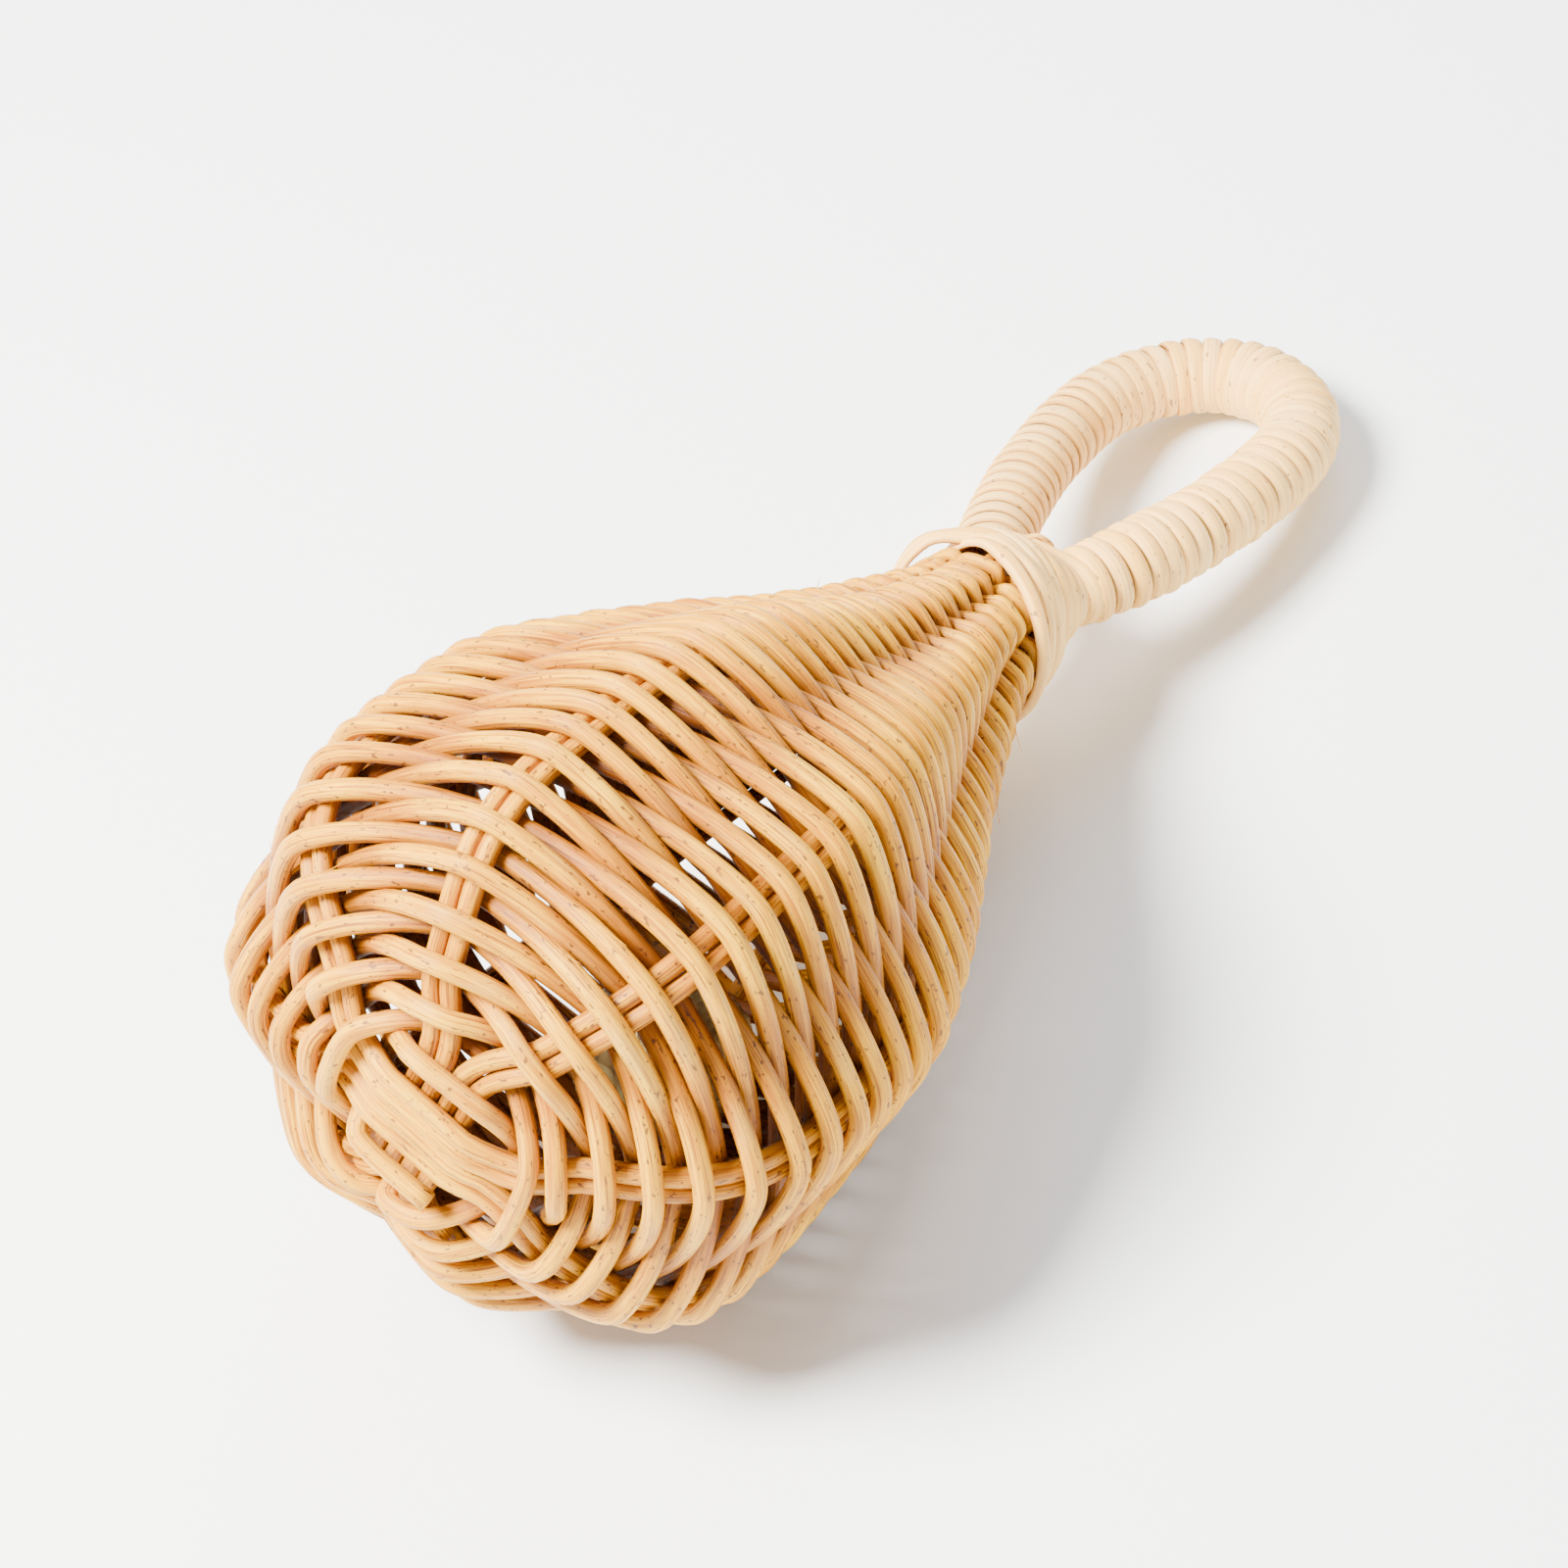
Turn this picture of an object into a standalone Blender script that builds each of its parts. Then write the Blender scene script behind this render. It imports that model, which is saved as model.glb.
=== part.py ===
"""Hand rattle: a pear-shaped woven rattan basket with a wrapped loop handle and a loose bell.

The basket is woven from rattan core. Eight long rods cross at the base and rise as eight ribs of
two rods each, and two weavers chase each other round the ribs, each passing in front of every
second rib. The loop handle is a bent cane, wrapped in a flat strip, whose two legs stand in the
neck. A round metal bell with a loose clapper lies inside the basket.

Each piece is first built upright: its own +Z runs from the base to the tip of the handle, and the
loop's width lies along Y. An empty then lays the whole rattle on the ground with the handle
towards +X, resting on the basket's belly and on the handle.
"""

import math

import bmesh
import bpy
import numpy as np
from mathutils import Matrix, Vector

MM = 0.001

# Basket: the ribs' middle surface as radius and height, from the base to the end of the rods.
RIB_PROFILE = [
    (0.0, 2.2), (8.0, 2.3), (14.0, 3.8), (20.4, 6.4), (26.2, 9.6), (30.3, 14.2), (32.1, 20.5),
    (32.2, 31.0), (30.9, 44.0), (25.2, 58.5), (17.9, 74.0), (11.9, 89.0), (8.3, 99.5), (7.1, 105.5),
    (6.6, 111.0),
]
BELLY_HEIGHT = 31.0
ARM_COUNT = 4
RIB_COUNT = 8
BASKET_TWIST = math.radians(29.5)
GAP = 0.2

# Rods: thick in the basket, tapering towards the neck.
ROD_RADIUS = 1.0
ROD_RADIUS_NECK = 0.68
ROD_SPACING = 2.12
ROD_SPACING_NECK = 1.5
ROD_BEND_LENGTH = 110.0
LAYER_OFFSET = 1.08
CROSS_EDGE = 4.6
CROSS_FADE = 8.8
SPLIT_START = 7.6
SPLIT_END = 18.0

# Weavers: the strand's radius and the distance between rows, from the base to the neck.
STRAND_RADIUS = 1.03
STRAND_RADIUS_NECK = 0.7
FIRST_ROW_RADIUS = 7.4
LAST_ROW_HEIGHT = 104.0
ROW_PITCH_BASE = 2.35
ROW_PITCH_BELLY = 2.12
ROW_PITCH_NECK = 1.5

# Handle: a bent cane with two straight legs in the neck, wrapped in a flat strip.
CANE_RADIUS = 3.7
LEG_RADIUS = 2.15
LEG_SPACING = 4.7
LEG_FOOT_HEIGHT = 92.0
LEG_BEND_HEIGHT = 110.0
LOOP_WIDE_HEIGHT = 152.0
LOOP_TIP_HEIGHT = 169.2
LOOP_HALF_WIDTH = 13.4
WRAP_PITCH = 2.35
WRAP_WIDTH = 2.1
WRAP_THICKNESS = 0.6
WRAP_FACETS = 8
WRAP_START_HEIGHT = 121.6

# Neck: a wound strip over the ends of the rods, and three loose collar loops around it.
BINDING_START_HEIGHT = 106.9
BINDING_END_HEIGHT = 117.4
BINDING_PITCH = 2.2
BINDING_WIDTH = 1.95
BINDING_THICKNESS = 0.5
BINDING_FACETS = 16
BINDING_CLEARANCE = 0.5
COLLAR_WIDTH = 2.2
COLLAR_THICKNESS = 0.5

# Bell: two pressed shells with a seam between them, a wire loop on top and a ball inside.
BELL_RADIUS = 9.0
BELL_WALL = 0.5
BELL_SEAM_GAP = 0.15
BELL_LIP = 0.9
BELL_STEPS = 7
BELL_WIRE_RADIUS = 0.6
BELL_HEIGHT_ON_AXIS = 44.0
BELL_CLEARANCE = 0.9
CLAPPER_RADIUS = 2.5
SLOT_WIDTH = 1.6
SLOT_END_RADIUS = 1.9


def clear_scene():
    for old in list(bpy.data.objects):
        bpy.data.objects.remove(old)


def new_collection(name):
    collection = bpy.data.collections.new(name)
    bpy.context.scene.collection.children.link(collection)
    return collection


def make_material(name, colour, roughness, metallic=0.0):
    material = bpy.data.materials.new(name)
    material.use_nodes = True
    shader = material.node_tree.nodes["Principled BSDF"]
    shader.inputs["Base Color"].default_value = (*colour, 1.0)
    shader.inputs["Roughness"].default_value = roughness
    shader.inputs["Metallic"].default_value = metallic
    material.diffuse_color = (*colour, 1.0)
    return material


def ease(value, low, high):
    """A smooth step from 0 at low to 1 at high."""
    t = min(max((value - low) / (high - low), 0.0), 1.0)
    return t * t * (3.0 - 2.0 * t)


class Meridian:
    """The ribs' middle surface, measured by its arc length from the centre of the base."""

    def __init__(self, profile):
        points = [Vector((r, z)) for r, z in profile]
        points = [points[0] * 2 - points[1]] + points + [points[-1] * 2 - points[-2]]
        samples = []
        for a, b, c, d in zip(points, points[1:], points[2:], points[3:]):
            for step in range(24):
                samples.append(self.smooth(a, b, c, d, step / 24.0))
        samples.append(points[-2])
        self.table = np.array([tuple(p) for p in samples])
        steps = np.hypot(*np.diff(self.table, axis=0).T)
        self.lengths = np.concatenate([[0.0], np.cumsum(steps)])
        self.total = float(self.lengths[-1])

    @staticmethod
    def smooth(a, b, c, d, t):
        """A point on the smooth curve from b to c, with a and d as its neighbours."""
        return 0.5 * (2 * b + (c - a) * t + (2 * a - 5 * b + 4 * c - d) * t * t
                      + (3 * b - 3 * c + d - a) * t * t * t)

    def at(self, length):
        """Radius, height, and the outward normal's radial and axial parts."""
        radius = float(np.interp(length, self.lengths, self.table[:, 0]))
        height = float(np.interp(length, self.lengths, self.table[:, 1]))
        near = min(max(length, 0.6), self.total - 0.6)
        d_radius = np.interp(near + 0.5, self.lengths, self.table[:, 0])
        d_radius -= np.interp(near - 0.5, self.lengths, self.table[:, 0])
        d_height = np.interp(near + 0.5, self.lengths, self.table[:, 1])
        d_height -= np.interp(near - 0.5, self.lengths, self.table[:, 1])
        size = math.hypot(d_radius, d_height)
        return radius, height, float(d_height / size), float(-d_radius / size)

    def length_at_height(self, height):
        upper = self.table[:, 1] > 3.0
        return float(np.interp(height, self.table[upper, 1], self.lengths[upper]))

    def length_at_radius(self, radius):
        """The arc length where the base first reaches this radius."""
        widest = int(np.argmax(self.table[:, 0]))
        return float(np.interp(radius, self.table[:widest, 0], self.lengths[:widest]))

    def point(self, length, angle, offset=0.0):
        """A point at this arc length and angle, moved outwards along the normal."""
        radius, height, n_radial, n_axial = self.at(length)
        reach = radius + offset * n_radial
        return Vector((reach * math.cos(angle), reach * math.sin(angle), height + offset * n_axial))


MERIDIAN = Meridian(RIB_PROFILE)
NECK_LENGTH = MERIDIAN.length_at_height(LAST_ROW_HEIGHT)
BELLY_LENGTH = MERIDIAN.length_at_height(BELLY_HEIGHT)


def taper(length, thick, thin):
    """A size that stays thick in the belly and thins towards the neck."""
    return thick + (thin - thick) * ease(length, BELLY_LENGTH + 22.0, NECK_LENGTH + 8.0)


def rod_radius(length):
    return taper(length, ROD_RADIUS, ROD_RADIUS_NECK)


def rod_spacing(length):
    return taper(length, ROD_SPACING, ROD_SPACING_NECK)


def strand_radius(length):
    return taper(length, STRAND_RADIUS, STRAND_RADIUS_NECK)


def pair_offset(length):
    """How far the middle of a rod pair lies beside its arm's centre line."""
    on_rib = MERIDIAN.at(length)[0] * math.sin(math.pi / RIB_COUNT)
    return ROD_SPACING + (on_rib - ROD_SPACING) * ease(length, SPLIT_START, SPLIT_END)


def pair_swing(length):
    """The angle between the middle of a rod pair and its arm's centre line."""
    return math.asin(min(pair_offset(length) / MERIDIAN.at(length)[0], 0.9))


def pair_reach(length):
    """Half the distance between a pair's rods, measured round the basket where they run askew."""
    drift = (pair_swing(length + 0.5) - pair_swing(length - 0.5)) * MERIDIAN.at(length)[0]
    return rod_spacing(length) / 2 * math.hypot(1.0, drift)


def rod_swing(length, lane):
    """A rod's angle from its arm's centre line, outside the cross at the base."""
    half_gap = pair_reach(length) / MERIDIAN.at(length)[0]
    return pair_swing(length) + (half_gap if abs(lane) > 1.0 else -half_gap)


def section_curve(sides, collection):
    """A regular outline of this many sides and 1 mm radius, used as the section of a tube."""
    data = bpy.data.curves.new("section_%d" % sides, "CURVE")
    data.dimensions = "2D"
    spline = data.splines.new("POLY")
    spline.points.add(sides - 1)
    for number, node in enumerate(spline.points):
        angle = -2 * math.pi * number / sides
        node.co = (MM * math.cos(angle), MM * math.sin(angle), 0.0, 1.0)
    spline.use_cyclic_u = True
    section = bpy.data.objects.new("section_%d" % sides, data)
    section.hide_render = True
    section.display_type = "WIRE"
    collection.objects.link(section)
    return section


def poly_tube(name, points, radii, section, material, collection):
    """A tube through the points, with a radius at each of them, in millimetres."""
    data = bpy.data.curves.new(name, "CURVE")
    data.dimensions = "3D"
    data.bevel_mode = "OBJECT"
    data.bevel_object = section
    data.use_fill_caps = True
    spline = data.splines.new("POLY")
    spline.points.add(len(points) - 1)
    for node, point, radius in zip(spline.points, points, radii):
        node.co = (*(point * MM), 1.0)
        node.radius = radius
    data.materials.append(material)
    tube = bpy.data.objects.new(name, data)
    collection.objects.link(tube)
    return tube


def strip_band(name, places, width, thickness, material, collection):
    """A flat strip: places gives each station's centre, its outward normal and its width direction.

    It starts as a flat grid, one face wide, which is bent onto the stations and then thickened
    outwards.
    """
    mesh = bpy.data.meshes.new(name)
    shape = bmesh.new()
    bmesh.ops.create_grid(shape, x_segments=len(places) - 1, y_segments=1, size=0.5)
    for vertex in shape.verts:
        station = round((vertex.co.x + 0.5) * (len(places) - 1))
        centre, _, across = places[station]
        side = 1.0 if vertex.co.y > 0 else -1.0
        vertex.co = (centre + across * (side * width / 2)) * MM
    shape.to_mesh(mesh)
    shape.free()
    for polygon in mesh.polygons:
        polygon.use_smooth = False
    strip = bpy.data.objects.new(name, mesh)
    collection.objects.link(strip)
    mesh.materials.append(material)
    onward = places[1][0] - places[0][0]
    side = 1.0 if onward.cross(places[0][2]).dot(places[0][1]) > 0 else -1.0
    thicken = strip.modifiers.new("thickness", "SOLIDIFY")
    thicken.thickness = thickness * MM
    thicken.offset = side
    thicken.use_even_offset = True
    return strip


# ---------------------------------------------------------------------------------------------
# Basket
# ---------------------------------------------------------------------------------------------

def rod_half(arm_angle, lane, outer_bundle):
    """One half of a rod, from the centre of the base to the neck.

    lane counts the four rods of an arm from one side to the other: -1.5, -0.5, 0.5 and 1.5.
    """
    points = []
    radii = []
    side = 1.0 if lane > 0 else -1.0
    stations = [0.0, 4.6, 6.4, 8.4, 10.6, 13.0, 15.4, 18.0, 20.8, 23.6, 26.4, 29.2, 32.0, 35.0, 38.0, 41.5, 46.0]
    while stations[-1] + 5.5 < MERIDIAN.total:
        stations.append(stations[-1] + (7.2 if stations[-1] < ROD_BEND_LENGTH else 4.6))
    stations.append(MERIDIAN.total)
    for length in stations:
        layer = LAYER_OFFSET * (1.0 - ease(length, CROSS_EDGE, CROSS_FADE))
        layer = layer if outer_bundle else -layer
        if length < CROSS_FADE:
            height = MERIDIAN.at(length)[1]
            straight = Vector((length, lane * ROD_SPACING, height - layer))
            points.append(Matrix.Rotation(arm_angle, 3, "Z") @ straight)
        else:
            angle = arm_angle + side * rod_swing(length, lane)
            points.append(MERIDIAN.point(length, angle, layer))
        radii.append(rod_radius(length))
    return points, radii


def make_rods(section, material, collection):
    """Eight rods: four side by side in each of two bundles that cross at the base."""
    rods = []
    for bundle in range(2):
        outer = bundle == 0
        arm = BASKET_TWIST + math.radians(90.0 if outer else 0.0)
        for lane in (-1.5, -0.5, 0.5, 1.5):
            one, one_radii = rod_half(arm, lane, outer)
            other, other_radii = rod_half(arm + math.pi, -lane, outer)
            points = other[:0:-1] + one
            radii = other_radii[:0:-1] + one_radii
            name = "stake_rod_%d" % (len(rods) + 1)
            rods.append(poly_tube(name, points, radii, section, material, collection))
    return rods


def taut_span(bend_radius, spacing, reach, clearance):
    """Where a taut strand leaves the front of one rib and meets the back of the next.

    The ribs stand spacing apart on a circle of bend_radius, each as wide as two rods whose centres
    lie reach either side of its middle. Returns two pairs: the distance from each rib's middle
    along the surface, and the offset from the surface.
    """
    step = spacing / bend_radius
    rod_angle = reach / bend_radius
    first = Vector((math.sin(rod_angle), math.cos(rod_angle))) * bend_radius
    second_angle = step - rod_angle
    second = Vector((math.sin(second_angle), math.cos(second_angle))) * bend_radius
    middle = (first + second) / 2
    chord = second - first
    swing = math.asin(min(2 * clearance / chord.length, 0.97))
    line = Vector((chord.x * math.cos(swing) + chord.y * math.sin(swing),
                   chord.y * math.cos(swing) - chord.x * math.sin(swing)))
    results = []
    for angle, sign in ((0.0, 1.0), (step, -1.0)):
        outward = Vector((math.sin(angle), math.cos(angle)))
        level = bend_radius * math.cos(rod_angle) + sign * clearance
        travel = (level - middle.dot(outward)) / line.dot(outward)
        knuckle = middle + line * travel
        turned = math.atan2(knuckle.x, knuckle.y) - angle
        results.append((abs(turned) * bend_radius, knuckle.length - bend_radius))
    return results


def row_length(row):
    """The arc length of a row: rows are wide apart near the base and close near the neck."""
    start = MERIDIAN.length_at_radius(FIRST_ROW_RADIUS)
    length = start
    done = 0.0
    while done < row - 1e-9:
        step = min(0.25, row - done)
        shoulder = ease(length, start, BELLY_LENGTH)
        pitch = ROW_PITCH_BASE + (ROW_PITCH_BELLY - ROW_PITCH_BASE) * shoulder
        pitch = taper(length, pitch, ROW_PITCH_NECK)
        length += pitch * step
        done += step
    return length


def rib_angle(length, rib):
    """The angle of a rib: near the base, the two ribs of an arm lie closer together."""
    arm = (rib // 2) * math.pi / 2
    swing = pair_swing(length)
    return arm + (-swing if rib % 2 == 0 else swing)


def crossings(weaver, row_table):
    """Each crossing of a weaver: its turn angle, arc length, half width, crown, and front or back.

    The crown is how far an arm's inner rods stand out beyond its outer ones.
    """
    found = []
    row = float(weaver)
    turn = 0
    while True:
        arm_stage = turn == 0
        count = ARM_COUNT if arm_stage else RIB_COUNT
        for index in range(count):
            guess = row + 2.0 * index / count
            length = float(np.interp(guess, row_table[0], row_table[1]))
            if length > NECK_LENGTH:
                return found
            if arm_stage:
                angle = index * math.pi / 2
                reach = MERIDIAN.at(length)[0] * rod_swing(length, 1.5)
                inner = MERIDIAN.at(length)[0] * rod_swing(length, 0.5)
            else:
                angle = rib_angle(length, index)
                reach = pair_reach(length)
                inner = reach
            front = (index + weaver) % 2 == 0
            radius, _, n_radial, _ = MERIDIAN.at(length)
            crown = (reach * reach - inner * inner) * n_radial / radius / 2
            found.append((angle + 2 * math.pi * turn, length, reach, crown, front))
        row += 2.0
        turn += 1


def weaver_path(weaver):
    """A weaver's corner points: two at each crossing, with straight runs between them."""
    rows = np.arange(0.0, 80.0, 0.5)
    row_table = (rows, np.array([row_length(r) for r in rows]))
    stops = crossings(weaver, row_table)
    points = []
    radii = []
    for number, (angle, length, reach, crown, front) in enumerate(stops):
        radius, _, n_radial, _ = MERIDIAN.at(length)
        bend_radius = radius / max(n_radial, 0.02)
        clearance = rod_radius(length) + strand_radius(length) + GAP
        for side in (-1, 1):
            other = min(max(number + side, 0), len(stops) - 1)
            if other == number:
                other = number - side
            spacing = abs(stops[other][0] - angle) * radius
            wide = (reach + stops[other][2]) / 2
            spans = taut_span(bend_radius, spacing, wide, clearance)
            reach_out, offset = spans[0] if front else spans[1]
            offset += crown if front else 0.0
            reach_out += reach - wide
            place = angle + side * reach_out / radius
            span = abs(stops[other][0] - angle)
            drift = (stops[other][1] - length) * reach_out / radius / span
            points.append(MERIDIAN.point(length + drift, place + BASKET_TWIST, offset))
            radii.append(strand_radius(length))
    return points, radii


def make_weavers(section, material, collection):
    weavers = []
    for weaver in range(2):
        points, radii = weaver_path(weaver)
        name = "weaver_%d" % (weaver + 1)
        weavers.append(poly_tube(name, points, radii, section, material, collection))
    return weavers


# ---------------------------------------------------------------------------------------------
# Handle and neck
# ---------------------------------------------------------------------------------------------

def leg_reach(height):
    """How far a leg's centre line stands from the rattle's axis, below the loop's widest part."""
    t = min(max((height - LEG_BEND_HEIGHT) / (LOOP_WIDE_HEIGHT - LEG_BEND_HEIGHT), 0.0), 1.0)
    leg = LEG_SPACING / 2
    return leg + (LOOP_HALF_WIDTH - leg) * (1.0 - (1.0 - t) ** 1.95) * ease(t, -0.35, 0.22)


def handle_side():
    """One side of the loop, from the foot of its leg to the tip: half-width and height."""
    side = [(LEG_SPACING / 2, LEG_FOOT_HEIGHT)]
    rise = LOOP_WIDE_HEIGHT - LEG_BEND_HEIGHT
    for step in range(13):
        height = LEG_BEND_HEIGHT + rise * step / 12
        side.append((leg_reach(height), height))
    for step in range(1, 9):
        angle = math.pi / 2 * step / 8
        top = LOOP_TIP_HEIGHT - LOOP_WIDE_HEIGHT
        side.append((LOOP_HALF_WIDTH * math.cos(angle), LOOP_WIDE_HEIGHT + top * math.sin(angle)))
    return side


def handle_line():
    """The handle's centre line, up one leg, round the loop and down the other leg."""
    side = handle_side()
    line = [Vector((0.0, -y, z)) for y, z in side]
    line += [Vector((0.0, y, z)) for y, z in side[-2::-1]]
    return line


def cane_radius(height):
    """The cane is pared down where its legs stand in the neck."""
    return LEG_RADIUS + (CANE_RADIUS - LEG_RADIUS) * ease(height, 109.5, 120.0)


def make_handle_core(section, material, collection):
    line = handle_line()
    radii = [cane_radius(point.z) for point in line]
    return poly_tube("handle_core", line, radii, section, material, collection)


class Line:
    """A smooth line through points, measured by its arc length."""

    def __init__(self, points):
        self.points = np.array([tuple(p) for p in points])
        steps = np.linalg.norm(np.diff(self.points, axis=0), axis=1)
        self.lengths = np.concatenate([[0.0], np.cumsum(steps)])
        self.total = float(self.lengths[-1])

    def at(self, length):
        return Vector([float(np.interp(length, self.lengths, self.points[:, k])) for k in range(3)])

    def direction(self, length):
        return (self.at(length + 1.2) - self.at(length - 1.2)).normalized()


def wrap_places(line, start, end, pitch, radius_at, facets):
    """Stations of a strip wound round a line in the loop's plane."""
    places = []
    count = int(round((end - start) / pitch * facets))
    for step in range(count + 1):
        length = start + (end - start) * step / count
        angle = 2 * math.pi * (step + 0.5) / facets
        centre = line.at(length)
        along = line.direction(length)
        flat = Vector((1.0, 0.0, 0.0))
        side = along.cross(flat).normalized()
        outward = flat * math.cos(angle) + side * math.sin(angle)
        places.append((centre + outward * radius_at(centre), outward, along))
    return places


def make_handle_wrap(material, collection):
    """The strip's inner face stands just clear of the cane."""
    line = Line(handle_line())
    heights = np.array([line.at(x).z for x in np.linspace(0.0, line.total / 2, 400)])
    start = float(np.interp(WRAP_START_HEIGHT, heights, np.linspace(0.0, line.total / 2, 400)))
    facet = math.cos(math.pi / WRAP_FACETS)

    def radius_at(centre):
        return (cane_radius(centre.z) + 0.2) / facet

    places = wrap_places(line, start, line.total - start, WRAP_PITCH, radius_at, WRAP_FACETS)
    return strip_band("handle_wrap", places, WRAP_WIDTH, WRAP_THICKNESS, material, collection)


def stadium_reach(angle, half_width, radius):
    """The reach, at this angle from the loop's normal, of an outline round both legs."""
    if abs(math.sin(angle)) * radius <= half_width * abs(math.cos(angle)):
        return radius / abs(math.cos(angle))
    sideways = half_width * abs(math.sin(angle))
    return sideways + math.sqrt(radius ** 2 - (half_width * math.cos(angle)) ** 2)


def binding_reach(angle, height):
    """The binding's inner radius: round over the rods, then flattened onto the two legs."""
    rod_end = RIB_PROFILE[-1][1]
    length = MERIDIAN.length_at_height(min(height - 1.0, rod_end))
    round_part = MERIDIAN.at(length)[0] + rod_radius(length)
    legs = stadium_reach(angle, leg_reach(height + 1.2), cane_radius(height + 1.2))
    blend = ease(height, rod_end + 1.0, rod_end + 4.5)
    reach = max(round_part + (legs - round_part) * blend, legs)
    return (reach + BINDING_CLEARANCE) / math.cos(math.pi / BINDING_FACETS)


def make_neck_binding(material, collection):
    """A flat strip wound round the ends of the rods and the roots of the loop."""
    facets = BINDING_FACETS
    turns = (BINDING_END_HEIGHT - BINDING_START_HEIGHT) / BINDING_PITCH
    count = int(round(turns * facets))
    places = []
    for step in range(count + 1):
        angle = 2 * math.pi * step / facets
        height = BINDING_START_HEIGHT + BINDING_PITCH * step / facets
        reach = binding_reach(angle, height)
        slope = (binding_reach(angle, height + 0.5) - binding_reach(angle, height - 0.5))
        outward = Vector((math.cos(angle), math.sin(angle), 0.0))
        across = (Vector((0.0, 0.0, 1.0)) + outward * slope).normalized()
        places.append((outward * reach + Vector((0.0, 0.0, height)), outward, across))
    return strip_band("neck_binding", places, BINDING_WIDTH, BINDING_THICKNESS, material, collection)


def make_collar_loop(name, radius, height, tilt, tilt_angle, bulge, bulge_angle, material, collection):
    """A loose turn of strip round the neck, tilted, and standing off the neck on one side."""
    places = []
    stations = 40
    for step in range(stations):
        angle = tilt_angle + 2 * math.pi * (step + 0.5) / stations
        stand = bulge * max(math.cos(angle - bulge_angle), 0.0) ** 2
        outward = Vector((math.cos(angle), math.sin(angle), 0.0))
        rise = tilt * math.cos(angle - tilt_angle)
        centre = outward * (radius + stand) + Vector((0.0, 0.0, height + rise))
        places.append((centre, outward, Vector((0.0, 0.0, 1.0))))
    return strip_band(name, places, COLLAR_WIDTH, COLLAR_THICKNESS, material, collection)


def make_collar_loops(material, collection):
    make_collar_loop("collar_loop_1", 9.7, 108.6, 1.4, math.radians(200), 0.0, 0.0,
                     material, collection)
    make_collar_loop("collar_loop_2", 10.4, 108.4, 1.8, math.radians(60), 0.8, math.radians(150),
                     material, collection)
    make_collar_loop("collar_loop_3", 11.1, 108.8, 2.4, math.radians(140), 1.8, math.radians(95),
                     material, collection)


# ---------------------------------------------------------------------------------------------
# Bell
# ---------------------------------------------------------------------------------------------

def turned_shell(name, side, material, collection):
    """Half a bell: a thin dome with a lip, whose mouth is at height 0 before it is moved."""
    outline = []
    for step in range(BELL_STEPS):
        angle = math.radians(90.0 - 86.0 * step / (BELL_STEPS - 1))
        outline.append((BELL_RADIUS * math.cos(angle), BELL_RADIUS * math.sin(angle)))
    outline.append((BELL_RADIUS + BELL_LIP, 0.0))
    profile = bpy.data.meshes.new(name + "_profile")
    edges = [(step, step + 1) for step in range(BELL_STEPS)]
    profile.from_pydata([(r * MM, 0.0, h * MM) for r, h in outline], edges, [])
    dome = bpy.data.objects.new(name, profile)
    collection.objects.link(dome)
    turn = dome.modifiers.new("turn", "SCREW")
    turn.steps = 18
    turn.render_steps = 18
    turn.use_merge_vertices = True
    turn.merge_threshold = 0.00001
    thicken = dome.modifiers.new("wall", "SOLIDIFY")
    thicken.thickness = BELL_WALL * MM
    thicken.offset = -1.0
    profile.materials.append(material)
    if side < 0:
        dome.rotation_euler = (math.pi, 0.0, 0.0)
    return dome


def make_slot_cutter(collection):
    """A narrow slot across the bottom of the bell, with a round hole at each end."""
    shape = bmesh.new()
    half = BELL_RADIUS * 0.62
    bmesh.ops.create_cube(shape, size=1.0, matrix=Matrix.Diagonal((2 * half, SLOT_WIDTH, 12.0, 1.0)))
    mesh = bpy.data.meshes.new("slot_cutter")
    bmesh.ops.scale(shape, vec=(MM, MM, MM), verts=shape.verts)
    shape.to_mesh(mesh)
    shape.free()
    cutters = [bpy.data.objects.new("slot_cutter", mesh)]
    for side in (-1, 1):
        shape = bmesh.new()
        place = Matrix.Translation((side * half, 0.0, 0.0))
        bmesh.ops.create_cone(shape, cap_ends=True, segments=14, radius1=SLOT_END_RADIUS,
                              radius2=SLOT_END_RADIUS, depth=12.0, matrix=place)
        bmesh.ops.scale(shape, vec=(MM, MM, MM), verts=shape.verts)
        mesh = bpy.data.meshes.new("hole_cutter")
        shape.to_mesh(mesh)
        shape.free()
        cutters.append(bpy.data.objects.new("hole_cutter", mesh))
    for cutter in cutters:
        cutter.hide_render = True
        cutter.display_type = "WIRE"
        collection.objects.link(cutter)
    return cutters


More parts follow.
